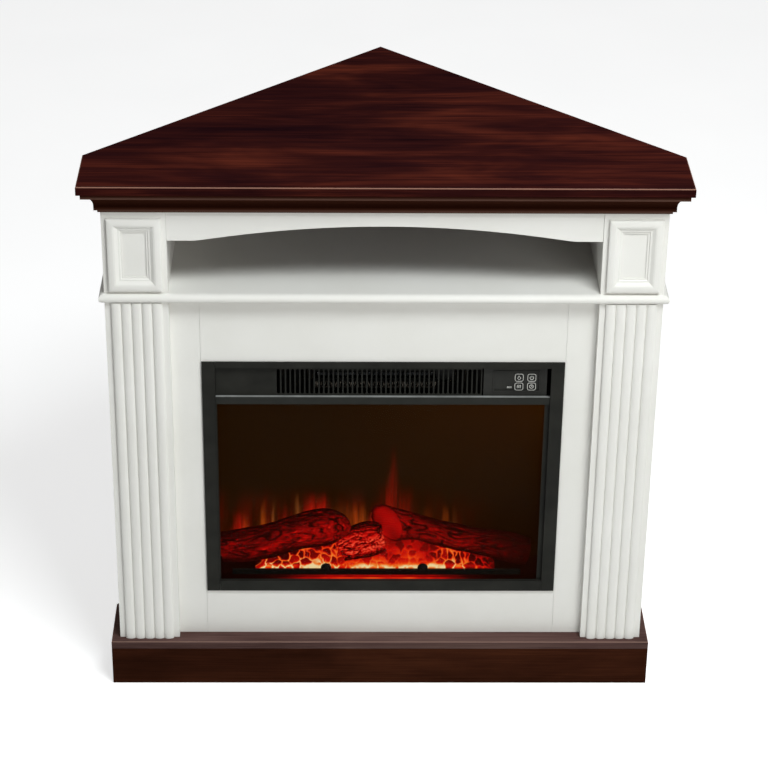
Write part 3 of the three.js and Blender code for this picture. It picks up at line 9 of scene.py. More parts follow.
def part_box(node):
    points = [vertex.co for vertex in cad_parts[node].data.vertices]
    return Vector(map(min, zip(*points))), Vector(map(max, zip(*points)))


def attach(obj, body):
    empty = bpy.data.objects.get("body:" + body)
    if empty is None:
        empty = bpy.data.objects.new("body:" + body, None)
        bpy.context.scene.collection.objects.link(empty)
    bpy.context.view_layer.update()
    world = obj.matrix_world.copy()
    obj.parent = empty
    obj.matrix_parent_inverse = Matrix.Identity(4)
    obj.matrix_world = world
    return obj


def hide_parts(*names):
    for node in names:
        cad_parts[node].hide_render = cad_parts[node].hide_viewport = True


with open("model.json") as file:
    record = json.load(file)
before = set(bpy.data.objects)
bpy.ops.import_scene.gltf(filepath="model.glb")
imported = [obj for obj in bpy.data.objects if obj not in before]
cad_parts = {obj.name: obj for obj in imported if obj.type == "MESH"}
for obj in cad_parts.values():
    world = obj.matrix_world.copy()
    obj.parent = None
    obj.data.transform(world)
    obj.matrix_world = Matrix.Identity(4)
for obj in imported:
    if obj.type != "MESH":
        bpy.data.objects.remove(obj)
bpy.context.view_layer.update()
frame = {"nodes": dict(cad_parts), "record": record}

nodes = frame["nodes"]
MM = 0.001


# ---------------------------------------------------------------- colours and node trees

def rgb(red, green, blue):
    """A colour as it is read off a screen, 0 to 255, in linear light."""
    def linear(value):
        value /= 255
        return value / 12.92 if value <= 0.04045 else ((value + 0.055) / 1.055) ** 2.4
    return linear(red), linear(green), linear(blue)


class Finish:
    """A Principled material whose patterns are written as expressions."""

    def __init__(self, name, colour=(0.5, 0.5, 0.5), roughness=0.5, **constants):
        self.material = bpy.data.materials.new(name)
        self.material.use_nodes = True
        tree = self.material.node_tree
        self.nodes, self.links = tree.nodes, tree.links
        self.shader = self.nodes["Principled BSDF"]
        self.put("Base Color", colour)
        self.put("Roughness", roughness)
        for socket, value in constants.items():
            self.put(socket.replace("_", " "), value)

    def feed(self, socket, value):
        if isinstance(value, bpy.types.NodeSocket):
            self.links.new(value, socket)
        elif socket.type == "RGBA":
            socket.default_value = (*value[:3], 1.0)
        else:
            socket.default_value = value

    def put(self, socket, value):
        self.feed(self.shader.inputs[socket], value)

    def node(self, kind, inputs=None, output=0, **settings):
        made = self.nodes.new("ShaderNode" + kind)
        for name, value in settings.items():
            setattr(made, name, value)
        for key, value in (inputs or {}).items():
            self.feed(made.inputs[key], value)
        return made.outputs[output]

    def place(self, scale=(1, 1, 1), shift=(0, 0, 0)):
        coordinates = self.node("TexCoord", output="Object")
        return self.node("Mapping", {"Vector": coordinates, "Scale": scale, "Location": shift})

    def axis(self, letter):
        return self.node("SeparateXYZ", {0: self.node("TexCoord", output="Object")}, "XYZ".index(letter))

    def math(self, operation, a, b=0.0):
        return self.node("Math", {0: a, 1: b}, operation=operation)

    def noise(self, scale, stretch=(1, 1, 1), detail=3.0, roughness=0.5, distortion=0.0, shift=(0, 0, 0)):
        inputs = {"Vector": self.place(stretch, shift), "Scale": scale, "Detail": detail,
                  "Roughness": roughness, "Distortion": distortion}
        return self.node("TexNoise", inputs)

    def span(self, value, low, high, to_low=0.0, to_high=1.0, smooth=False):
        kind = "SMOOTHSTEP" if smooth else "LINEAR"
        inputs = {0: value, 1: low, 2: high, 3: to_low, 4: to_high}
        return self.node("MapRange", inputs, interpolation_type=kind)

    def ramp(self, factor, *stops):
        made = self.nodes.new("ShaderNodeValToRGB")
        elements = made.color_ramp.elements
        while len(elements) < len(stops):
            elements.new(0.5)
        for element, (place, colour) in zip(elements, stops):
            element.position = place
            element.color = (*colour, 1.0)
        self.feed(made.inputs[0], factor)
        return made.outputs[0]

    def mix(self, factor, a, b, blend="MIX"):
        return self.node("Mix", {0: factor, 6: a, 7: b}, 2, data_type="RGBA", blend_type=blend)

    def bump(self, height, distance, strength):
        self.put("Normal", self.node("Bump", {"Height": height, "Distance": distance, "Strength": strength}))


# ---------------------------------------------------------------- materials

def white_paint():
    made = Finish("white_paint", roughness=0.5, IOR=1.45, Specular_IOR_Level=0.35)
    cloud = made.noise(9, detail=4)
    made.put("Base Color", made.ramp(cloud, (0.3, rgb(230, 229, 223)), (0.7, rgb(234, 233, 228))))
    made.put("Roughness", made.span(made.noise(60, detail=4), 0.3, 0.7, 0.44, 0.56))
    peel = made.noise(900, detail=2)
    made.bump(peel, 0.00012, 0.35)
    return made.material


def veneer(name, dark, middle, light, edge):
    """Dark veneer: grain along X in patches and streaks, a painted highlight on eased edges and painted shade
    on upright faces.
    """
    roughness = 0.42
    made = Finish(name, roughness=roughness, Specular_IOR_Level=0.0)
    patches = made.noise(5.0, (0.7, 2.6, 2.6), detail=3, roughness=0.55, distortion=0.6)
    bands = made.noise(7.0, (0.35, 9.0, 9.0), detail=5, roughness=0.6, distortion=0.4)
    streaks = made.noise(14.0, (0.4, 32.0, 32.0), detail=4, roughness=0.65, shift=(3, 1, 2))
    pores = made.noise(60.0, (0.16, 16.0, 16.0), detail=2, roughness=0.6)
    broad = made.math("ADD", made.math("MULTIPLY", patches, 0.5), made.math("MULTIPLY", bands, 0.3))
    grain = made.math("ADD", broad, made.math("MULTIPLY", streaks, 0.2))
    base = made.ramp(grain, (0.36, dark), (0.5, middle), (0.64, light))
    hairs = made.noise(40.0, (0.3, 46.0, 46.0), detail=2, shift=(5, 7, 2))
    pore_shade = made.span(pores, 0.36, 0.6, 0.74, 1.06)
    shade = made.math("MULTIPLY", pore_shade, made.span(hairs, 0.3, 0.7, 0.82, 1.1))
    flecks = made.span(made.noise(26.0, (0.5, 9.0, 9.0), detail=3, shift=(9, 4, 1)), 0.66, 0.8)
    wood = made.mix(1.0, made.mix(made.math("MULTIPLY", flecks, 0.5), base, light), shade, "MULTIPLY")
    upward = made.node("SeparateXYZ", {0: made.node("NewGeometry", output="Normal")}, 2)
    # painted highlight: eased edges, which look partly up, take the pale edge colour
    low = made.span(upward, 0.15, 0.35)
    high = made.span(upward, 0.99, 0.95)
    # painted shade: faces that look sideways are darkened to 0.7
    wood = made.mix(1.0, wood, made.span(upward, 0.05, 0.3, 0.7, 1.0), "MULTIPLY")
    edge_highlight = made.math("MULTIPLY", low, high)
    made.put("Base Color", made.mix(edge_highlight, wood, edge))
    made.put("Roughness", made.span(pores, 0.3, 0.7, roughness + 0.05, roughness - 0.05))
    made.bump(pores, 0.00015, 0.25)
    return made.material


# the crown's bands are a painted highlight on the fillet and bead and painted shade in the cove
CROWN_LOW, CROWN_HIGH = 0.888, 0.929  # metres, the heights between which the crown's bands lie


def crown_stain_and_painted_light():
    """Brown stain with painted bands: a painted highlight on the moulding's fillet and bead, painted shade in
    its cove.
    """
    made = Finish("crown_stain_and_painted_light", roughness=0.4, Specular_IOR_Level=0.0)
    height = made.span(made.axis("Z"), CROWN_LOW, CROWN_HIGH)
    dark, brown, light = rgb(34, 12, 5), rgb(58, 31, 22), rgb(92, 66, 56)
    # painted highlight and painted shade, by height
    tone = made.ramp(height, (0.0, light), (0.12, light), (0.2, brown), (0.3, dark), (0.7, brown),
                     (0.76, light), (0.84, light), (0.9, brown), (1.0, rgb(44, 20, 13)))
    streaks = made.noise(14.0, (0.4, 32.0, 32.0), detail=4, roughness=0.65)
    made.put("Base Color", made.mix(1.0, tone, made.span(streaks, 0.3, 0.7, 0.84, 1.1), "MULTIPLY"))
    made.bump(streaks, 0.00015, 0.25)
    return made.material


def hardboard():
    made = Finish("hardboard", roughness=0.7)
    mottle = made.noise(40, detail=5)
    made.put("Base Color", made.ramp(mottle, (0.3, rgb(205, 202, 192)), (0.7, rgb(218, 215, 206))))
    made.bump(made.noise(700, detail=2), 0.0002, 0.4)
    return made.material


def raw_timber():
    made = Finish("raw_timber", roughness=0.75)
    grain = made.noise(14, (0.6, 6, 9), detail=6, distortion=0.8)
    stops = (0.3, rgb(176, 142, 98)), (0.55, rgb(204, 174, 130)), (0.7, rgb(216, 190, 150))
    made.put("Base Color", made.ramp(grain, *stops))
    made.bump(grain, 0.0004, 0.4)
    return made.material


def powder_coat(name, low, high, ledge=None):
    """Fine textured black paint. The ledge colour shows where a face looks up and catches the light."""
    roughness = 0.55
    made = Finish(name, roughness=roughness, IOR=1.5, Specular_IOR_Level=0.12)
    coat = made.ramp(made.noise(25, detail=4), (0.3, low), (0.7, high))
    if ledge:
        upward = made.node("SeparateXYZ", {0: made.node("NewGeometry", output="Normal")}, 2)
        streak = made.span(made.noise(30, detail=3), 0.3, 0.7, 0.55, 1.0)
        coat = made.mix(made.math("MULTIPLY", made.span(upward, 0.3, 0.8), streak), coat, ledge)
    made.put("Base Color", coat)
    made.put("Roughness", made.span(made.noise(90, detail=3), 0.3, 0.7, roughness - 0.06, roughness + 0.06))
    made.bump(made.noise(1400, detail=2), 0.0001, 0.4)
    return made.material


def moulded_plastic(name, low, high, roughness):
    made = Finish(name, roughness=roughness, Specular_IOR_Level=0.15)
    made.put("Base Color", made.ramp(made.noise(30, detail=3), (0.3, low), (0.7, high)))
    made.put("Roughness", made.span(made.noise(120, detail=3), 0.3, 0.7, roughness - 0.04, roughness + 0.06))
    made.bump(made.noise(1500, detail=2), 0.00006, 0.3)
    return made.material


def galvanised():
    made = Finish("galvanised", roughness=0.4, Metallic=1.0)
    cells = made.node("TexVoronoi", {"Vector": made.place(), "Scale": 90.0}, "Color", feature="F1")
    spangle = made.node("SeparateColor", {0: cells}, 0)
    made.put("Base Color", made.ramp(spangle, (0.0, rgb(150, 154, 157)), (1.0, rgb(186, 190, 192))))
    made.put("Roughness", made.span(spangle, 0, 1, 0.34, 0.5))
    return made.material


def bright_metal(name, low, high):
    made = Finish(name, roughness=0.3, Metallic=1.0)
    rolled = made.noise(120, (0.05, 1, 1), detail=4)
    made.put("Base Color", made.ramp(rolled, (0.3, low), (0.7, high)))
    made.put("Roughness", made.span(rolled, 0.3, 0.7, 0.24, 0.4))
    return made.material


def heater_fins():
    """Aluminium fins that catch the light at mid height and lie in shadow at their folds."""
    made = Finish("heater_fins", roughness=0.35, Metallic=1.0)
    low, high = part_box("heater_element")
    height = made.span(made.axis("Z"), low.z, high.z)
    glint = made.span(made.noise(420, detail=3), 0.4, 0.75)
    lit = made.mix(glint, rgb(34, 30, 26), rgb(150, 140, 128))
    dark = rgb(14, 14, 13)
    black, white = (0, 0, 0), (1, 1, 1)
    shade = made.ramp(height, (0.0, black), (0.3, black), (0.42, white), (0.68, white), (0.8, black))
    made.put("Base Color", made.mix(shade, dark, lit))
    return made.material


def circuit_board():
    made = Finish("circuit_board", roughness=0.45)
    colours = {"Color1": rgb(20, 74, 40), "Color2": rgb(24, 84, 46), "Mortar": rgb(40, 120, 66)}
    inputs = {"Vector": made.place(), "Scale": 160.0, "Mortar Size": 0.03, **colours}
    made.put("Base Color", made.node("TexBrick", inputs))
    made.bump(made.noise(500), 0.0001, 0.3)
    return made.material


def smoked_glass():
    """Thin smoked glass, seen through by its alpha, with painted light that makes it a little browner to the
    upper right.
    """
    made = Finish("smoked_glass", roughness=0.05, Alpha=0.3, IOR=1.5, Specular_IOR_Level=0.03)
    painted_light_ramp = made.span(made.math("ADD", made.axis("X"), made.axis("Z")), 0.1, 0.8)
    made.put("Base Color", made.mix(painted_light_ramp, rgb(8, 3, 0), rgb(22, 10, 1)))
    made.put("Roughness", made.span(made.noise(4, detail=3), 0.3, 0.7, 0.03, 0.08))
    return made.material


# Tongues of flame on the screen: middle, width, foot and tip in mm, colour and strength.
RED, ORANGE, AMBER = (1.0, 0.012, 0.008), (1.0, 0.16, 0.015), (1.0, 0.3, 0.06)
TONGUES = [
    (-242, 20, 236, 282, RED, 0.45),
    (-232, 8, 240, 276, ORANGE, 0.16),
    (-201, 13, 236, 308, ORANGE, 0.4),
    (-181, 6, 240, 320, AMBER, 0.36),
    (-160, 18, 250, 300, RED, 0.22),
    (-143, 8, 256, 322, AMBER, 0.4),
    (-118, 24, 266, 322, RED, 0.8),
    (-98, 14, 270, 322, RED, 0.6),
    (-60, 44, 258, 306, ORANGE, 0.16),
    (-44, 10, 262, 304, ORANGE, 0.16),
    (-31, 12, 256, 304, ORANGE, 0.4),
    (-8, 16, 254, 300, RED, 0.5),
    (21, 14, 300, 420, RED, 0.24),
    (14, 34, 270, 350, RED, 0.22),
    (44, 28, 262, 340, RED, 0.22),
    (78, 20, 262, 300, ORANGE, 0.06),
    (111, 12, 256, 300, ORANGE, 0.2),
    (128, 8, 250, 296, AMBER, 0.08),
]


def flame_film():
    """The dark screen with the flames that the spindle throws on it, under a dim painted amber glow that rises
    to the upper right, with painted shade at the lower right.
    """
    made = Finish("flame_film", rgb(24, 12, 3), 0.35, Specular_IOR_Level=0.1)
    x, z = made.axis("X"), made.axis("Z")
    sway = made.math("SUBTRACT", made.noise(26, (1, 1, 0.6), detail=2), 0.5)
    bent = made.math("ADD", x, made.math("MULTIPLY", sway, 0.016))
    streaks = made.span(made.noise(260, (1, 1, 0.04), detail=3), 0.36, 0.66, 0.3, 1.3)
    total = None
    for middle, width, foot, tip, colour, strength in TONGUES:
        across = made.math("DIVIDE", made.math("SUBTRACT", bent, middle * MM), width * MM / 2)
        narrow = made.span(z, foot * MM, tip * MM, 0.8, 1.7)
        across = made.math("MULTIPLY", across, narrow)
        bell = made.math("EXPONENT", made.math("MULTIPLY", made.math("MULTIPLY", across, across), -1.0))
        rise = made.span(z, tip * MM, foot * MM, smooth=True)
        level = made.math("MULTIPLY", made.math("MULTIPLY", bell, rise), strength)
        lit = made.mix(1.0, made.mix(level, (0, 0, 0), colour), streaks, "MULTIPLY")
        total = lit if total is None else made.mix(1.0, total, lit, "ADD")
    foot = made.math("MULTIPLY", made.span(z, 0.335, 0.25, smooth=True), made.span(x, 0.2, 0.02))
    foot = made.math("MULTIPLY", foot, made.span(made.noise(30, (1, 1, 0.3), detail=3), 0.35, 0.7, 0.0, 0.16))
    total = made.mix(1.0, total, made.mix(made.math("MULTIPLY", foot, streaks), (0, 0, 0), RED), "ADD")
    # painted light: a dim amber glow over the screen, brighter to the upper right, with painted shade at the
    # lower right
    painted_glow = made.math("MULTIPLY", made.span(z, 0.3, 0.53), made.span(x, -0.1, 0.27))
    low_right = made.math("MULTIPLY", made.span(z, 0.5, 0.25), made.span(x, 0.1, 0.27))
    back = made.mix(painted_glow, rgb(36, 16, 0), rgb(58, 26, 0))
    back = made.mix(made.math("MULTIPLY", low_right, 0.7), back, rgb(24, 5, 1))
    made.put("Emission Color", made.mix(1.0, total, back, "ADD"))
    made.put("Emission Strength", 1.0)
    return made.material


EMBER_GLOW = [
    (0.0, rgb(8, 2, 1)),
    (0.14, rgb(48, 4, 3)),
    (0.32, rgb(128, 7, 5)),
    (0.48, rgb(206, 14, 8)),
    (0.62, rgb(248, 60, 14)),
    (0.78, rgb(255, 138, 44)),
    (1.0, rgb(255, 232, 170)),
]
BARK_GLOW = [
    (0.0, rgb(8, 2, 1)),
    (0.2, rgb(58, 4, 3)),
    (0.45, rgb(136, 6, 5)),
    (0.7, rgb(200, 10, 8)),
    (0.86, rgb(240, 44, 28)),
    (1.0, rgb(255, 96, 62)),
]


GLOW_STRENGTH = 1.6


def glowing(name, stops, body, roughness):
    """Resin that is lit red from inside; the glow attribute of the mesh says how much."""
    made = Finish(name, body, roughness, Specular_IOR_Level=0.0)
    glow = made.node("Attribute", output="Fac", attribute_name="glow")
    speck = made.span(made.noise(700, detail=2), 0.3, 0.7, -0.035, 0.035)
    level = made.math("ADD", glow, speck)
    made.put("Base Color", made.ramp(level, (0.0, body), (1.0, tuple(3 * part for part in body))))
    made.put("Emission Color", made.ramp(level, *stops))
    made.put("Emission Strength", GLOW_STRENGTH)
    made.bump(made.noise(420, detail=3), 0.0004, 0.5)
    return made.material


def paint_nodes():
    # the last colour given to each veneer is its painted highlight on eased edges
    edge = rgb(150, 112, 96)
    top = veneer("cherry_top", rgb(30, 12, 17), rgb(58, 23, 21), rgb(98, 42, 30), edge)
    moulding = crown_stain_and_painted_light()
    plinth = veneer("plinth_veneer", rgb(46, 23, 14), rgb(64, 33, 21), rgb(80, 43, 27), rgb(120, 96, 80))
    # painted highlight: the hearth board gets a lighter, pinker copy of the plinth's veneer, as lit from above
    hearth = veneer("hearth_veneer", rgb(80, 58, 54), rgb(98, 74, 70), rgb(112, 88, 82), rgb(130, 104, 94))
    black = powder_coat("black_powder_coat", rgb(30, 30, 27), rgb(40, 40, 36))
    # painted highlight: the pale ledge colour goes where the header's faces look up
    header = powder_coat("header_coat", rgb(34, 35, 32), rgb(42, 43, 40), rgb(150, 152, 150))
    # painted shade: the heater deck and blower housing behind the grille are coloured near black
    shaded = bright_metal("shaded_steel", rgb(14, 14, 13), rgb(30, 30, 28))
    caps = moulded_plastic("button_cap", rgb(22, 22, 21), rgb(32, 32, 30), 0.3)
    by_slot = {
        "white_paint": white_paint(),
        "hardboard": hardboard(),
        "timber": raw_timber(),
        "black_steel": black,
        "black_plastic": moulded_plastic("black_plastic", rgb(34, 34, 32), rgb(44, 44, 41), 0.35),
        "button_plastic": caps,
        "mechanism_plastic": moulded_plastic("mechanism_plastic", rgb(30, 30, 30), rgb(40, 40, 40), 0.5),
        "galvanised": galvanised(),
        "bright_metal": bright_metal("bright_metal", rgb(196, 196, 196), rgb(222, 222, 220)),
        "circuit": circuit_board(),
        "glass": smoked_glass(),
        "flame_film": flame_film(),
        "log_resin": glowing("log_paint", BARK_GLOW, rgb(20, 3, 2), 0.6),
        "ember_resin": glowing("ember_paint", EMBER_GLOW, rgb(30, 5, 3), 0.5),
        "dark_moulding": moulding,
        "dark_veneer": top,
    }
    by_node = {
        "glass_header": header,
        "plinth_front": plinth,
        "plinth_side_left": plinth,
        "plinth_side_right": plinth,
        "hearth_board": hearth,
        "heater_element": heater_fins(),
        "heater_deck": shaded,
        "blower_housing": shaded,
    }
    for row in frame["record"]["subparts"]:
        material = by_node.get(row["node"], by_slot[row["material_slot"]])
        mesh = nodes[row["node"]].data
        mesh.materials.clear()
        mesh.materials.append(material)
    return by_slot


paint = paint_nodes()


# ---------------------------------------------------------------- mesh helpers

def add_piece(name, points, faces, body, material, replaced=None, glow=None, smooth=True):
    """A visible piece from points in metres, that rides on a body; replaced is the node it stands for."""
    mesh = bpy.data.meshes.new(name)
    mesh.from_pydata([tuple(point) for point in points], [], faces)
    mesh.update()
    mesh.materials.append(material)
    mesh.polygons.foreach_set("use_smooth", [smooth] * len(mesh.polygons))
    if glow is not None:
        layer = mesh.attributes.new("glow", "FLOAT", "POINT")
        layer.data.foreach_set("value", np.asarray(glow, np.float32))
    piece = bpy.data.objects.new(name, mesh)
    bpy.context.scene.collection.objects.link(piece)
    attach(piece, body)
    if replaced:
        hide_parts(replaced)


def perlin(points, scale, shift=0.0):
    """Noise at each point, about -1 to 1; scale holds one frequency per axis."""
    spots = points * np.asarray(scale) + shift
    return np.array([noise.noise(Vector(spot)) for spot in spots])


def ease(low, high, value):
    """0 up to low, 1 from high on, and smooth between."""
    share = np.clip((value - low) / (high - low), 0, 1)
    return share * share * (3 - 2 * share)


def grid_faces(rows, columns, wrap=False):
    """Quads over a grid of points kept row by row; wrap joins the last column to the first."""
    across = columns if wrap else columns - 1
    faces = []
    for i in range(rows - 1):
        for k in range(across):
            next_ = (k + 1) % columns
            here, above = i * columns, (i + 1) * columns
            faces.append((here + k, here + next_, above + next_, above + k))
    return faces


# ---------------------------------------------------------------- logs, in mm

GLASS_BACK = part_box("glass_pane")[1].y / MM
APRON_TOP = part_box("fender")[0].z / MM - 0.3
RINGS, AROUND, CAP_RINGS = 230, 120, 26
# painted light: the bark glows most where it looks this way, to the front, towards the embers
EMBER_LIGHT = np.array([0.0, -0.98, 0.05])  # the embers light what looks to the front
CRACK_DEPTH, RIDGE_DEPTH, ROUGHNESS = 1.9, 1.0, 0.35  # mm, of the bark
LOBE = 0.03  # how far the log is from round, as a share of its radius
# strengths of the painted light on the bark, of its painted highlight streaks and of the painted shade
# underneath
BARK_LIGHT, STREAK_LIGHT, UNDERSIDE_SHADE = 0.82, 0.34, 0.72
FACE_LINE_DEPTH = 0.25  # mm, of the saw lines on a cut face
FACE_LINE_WAY = np.array([1.0, 0.4, -1.3])


def spline(stations, count):
    """Smooth values between the stations, spaced by the root of their distance."""
    stations = np.array(stations, float)
    steps = np.linalg.norm(np.diff(stations[:, :3], axis=0), axis=1) ** 0.5
    knots = np.concatenate([[0], np.cumsum(steps)])
    slopes = np.gradient(stations, knots, axis=0)
    place = np.linspace(0, knots[-1], count)
    i = np.clip(np.searchsorted(knots, place, side="right") - 1, 0, len(knots) - 2)
    span = (knots[i + 1] - knots[i])[:, None]
    t = (place - knots[i])[:, None] / span
    start = (2 * t**3 - 3 * t**2 + 1) * stations[i] + (t**3 - 2 * t**2 + t) * span * slopes[i]
    end = (3 * t**2 - 2 * t**3) * stations[i + 1] + (t**3 - t**2) * span * slopes[i + 1]
    return start + end


def grid_normals(grid):
    """Unit normals of a grid of points that closes on itself along its second axis."""
    along = np.gradient(grid, axis=0)
    around = (np.roll(grid, -1, axis=1) - np.roll(grid, 1, axis=1)) / 2
    normal = np.cross(around, along)
    return normal / np.linalg.norm(normal, axis=2, keepdims=True)


def bark_log(name, stations, phase, spread=1.0, slant=0.0, level=(1.0, 1.0), lines=1.0):
    """A log with plates of bark between cracks, whose glow is painted light: strongest where the bark looks
    towards the embers, with painted highlight streaks and painted shade underneath.

    A station is x, distance behind the glass, height over the apron and radius, in mm. Phase moves the noise,
    spread widens the log from front to back, and slant turns its left cut face to the front. Level is the glow
    at the left and at the right end, and lines is the strength of the painted highlight streaks.
    """
    path = spline(stations, RINGS)
    middle = np.column_stack([path[:, 0], GLASS_BACK + path[:, 1], APRON_TOP + path[:, 2]])
    tangent = np.gradient(middle, axis=0)
    tangent /= np.linalg.norm(tangent, axis=1, keepdims=True)
    out = np.array([0.0, 1.0, 0.0]) - tangent * tangent[:, 1:2]
    out /= np.linalg.norm(out, axis=1, keepdims=True)
    up = np.cross(tangent, out)
    walked = np.concatenate([[0], np.cumsum(np.linalg.norm(np.diff(middle, axis=0), axis=1))])
    angle = np.linspace(0, 2 * np.pi, AROUND, endpoint=False)
    t = np.linspace(0, 1, RINGS)[:, None]
    s, a = np.broadcast_arrays(walked[:, None], angle[None, :])
    skin = np.stack([s, np.cos(a) * path[:, 3:4], np.sin(a) * path[:, 3:4]], axis=2).reshape(-1, 3)
    warp = perlin(skin, (0.02, 0.05, 0.05), phase)[:, None] * np.array([6.0, 7.0, 7.0])
    wide = np.abs(perlin(skin + warp, (0.026, 0.15, 0.15), phase + 5)).reshape(s.shape)
    fine = np.abs(perlin(skin + warp, (0.05, 0.5, 0.5), phase + 9)).reshape(s.shape)
    plates = ease(0.0, 0.16, wide)
    ridges = ease(0.0, 0.2, fine)
    rough = perlin(skin, (0.2, 0.6, 0.6), phase).reshape(s.shape)
    lobe = LOBE * np.sin(3 * a + 4 * t + phase)
    reach = path[:, 3:4] * (1 + lobe) - CRACK_DEPTH * (1 - plates)
    reach = reach - RIDGE_DEPTH * (1 - ridges) + ROUGHNESS * rough
    grid = middle[:, None, :] + out[:, None, :] * (spread * reach * np.cos(a))[..., None]
    grid = grid + up[:, None, :] * (reach * np.sin(a))[..., None]
    lean = slant * (1 - t) ** 4 * reach * np.cos(a)
    grid = grid - tangent[:, None, :] * lean[..., None]
    # painted light and shade: the glow follows how much the bark faces the embers
    facing = np.clip(grid_normals(grid) @ EMBER_LIGHT, 0, 1)
    bright = level[0] + (level[1] - level[0]) * t
    cloud = 0.75 + 0.45 * perlin(skin, (0.02, 0.05, 0.05), phase + 20).reshape(s.shape)
    glow = facing**0.8 * (0.18 + 0.82 * plates) * (0.45 + 0.55 * ridges) * cloud * bright * BARK_LIGHT
    # painted highlight streaks on the bark
    streak_highlight = ease(0.26, 0.5, perlin(skin + warp, (0.06, 0.55, 0.55), phase + 31)).reshape(s.shape)
    glow = glow + STREAK_LIGHT * lines * streak_highlight * facing**2 * bright
    glow = glow * (1 - UNDERSIDE_SHADE * ease(-0.15, 0.75, -np.sin(a)))
    points = [grid.reshape(-1, 3)]
    glows = [glow.reshape(-1)]
    faces = grid_faces(RINGS, AROUND, wrap=True)
    for end in (0, RINGS - 1):
        rim = grid[end]
        centre = rim.mean(axis=0)
        first = end * AROUND
        for ring in range(1, CAP_RINGS + 1):
            share = 1 - ring / (CAP_RINGS + 1)
            start = sum(len(block) for block in points)
            disc = centre + (rim - centre) * share
            across = perlin(disc, (0.03, 0.03, 0.03), phase)
            cut = np.sin(disc @ FACE_LINE_WAY * 1.3 + 4 * across)
            points.append(disc - tangent[end] * (FACE_LINE_DEPTH * cut * (1 if end == 0 else -1))[:, None])
            face_glow = 0.47 + 0.14 * cut + 0.22 * across
            bark = ease(0.9 - 0.22 * np.clip(np.cos(angle), 0, 1), 1.0, share)
            glows.append(face_glow * bright[end] * (1 - 0.8 * bark))
            for k in range(AROUND):
                next_ = (k + 1) % AROUND
                quad = (first + k, first + next_, start + next_, start + k)
                faces.append(quad if end else quad[::-1])
            first = start
        start = sum(len(block) for block in points)
        points.append(centre[None, :])
        glows.append(np.array([0.5 * bright[end, 0]]))
        for k in range(AROUND):
            corner = (first + k, first + (k + 1) % AROUND, start)
            faces.append(corner if end else corner[::-1])
    points = np.concatenate(points) * MM
    glows = np.clip(np.concatenate(glows), 0, 1)
    add_piece(name + "_bark", points, faces, "fireplace", paint["log_resin"], name, glows)


bark_log("log_left", [
    (-271, 38, 38, 26),
    (-235, 38, 42, 29),
    (-188, 38, 52, 29.5),
    (-150, 38, 66, 29.5),
    (-118, 38, 75, 31.5),
    (-96, 38, 78, 32),
    (-80, 38, 77.5, 29),
    (-68, 38, 75, 23),
    (-60, 38, 71, 15),
    (-56, 38, 68, 8),
], 0.4, level=(0.66, 1.15))
bark_log("log_right", [
    (11, 38, 88, 30),
    (36, 38, 84, 25.5),
    (61, 38, 79, 22),
    (93, 38, 68, 22),
    (131, 38, 58, 22.5),
    (162, 38, 50, 22.5),
    (190, 38, 45, 24.5),
    (227, 38, 35.5, 26),
    (252, 38, 29, 24),
], 2.1, slant=0.9, level=(1.15, 0.2))
bark_log("log_centre", [
    (-68, 32, 38, 21),
    (-52, 34, 44, 25),
    (-34, 36, 51, 28),
    (-14, 38, 56, 28),
    (4, 40, 58, 22),
], 4.2, spread=1.25, level=(1.75, 1.75), lines=0.9)


# ---------------------------------------------------------------- embers, in mm

MOUND_CENTRE, MOUND_HALF, MOUND_HEIGHT = -9, 206, 54
MOUND_TOE, MOUND_CLIMB, MOUND_END_SLOPE = 10, 26, 1.5
APRON_THICKNESS = 3.5
FOOT_WIDTH, FOOT_GAP = 6.0, 0.01
CELL, JITTER, MOUND_REACH = 13.5, 0.62, 110  # coals: grid, stray as a share of it, and how far in they go
COAL_RISE, COAL_SINK, COAL_EDGE = 4.2, 1.2, 7.0
WAVER, WAVER_SCALE = 3.4, 0.14
APRON_ROWS, MOUND_ROWS, MOUND_COLUMNS, BATCHES = 14, 64, 420, 24
SEED = 11
UNLIT = 0.02  # the glow of what no light reaches
BOX_QUADS = (0, 1, 3, 2), (4, 6, 7, 5), (0, 4, 5, 1), (2, 3, 7, 6), (0, 2, 6, 4), (1, 5, 7, 3)


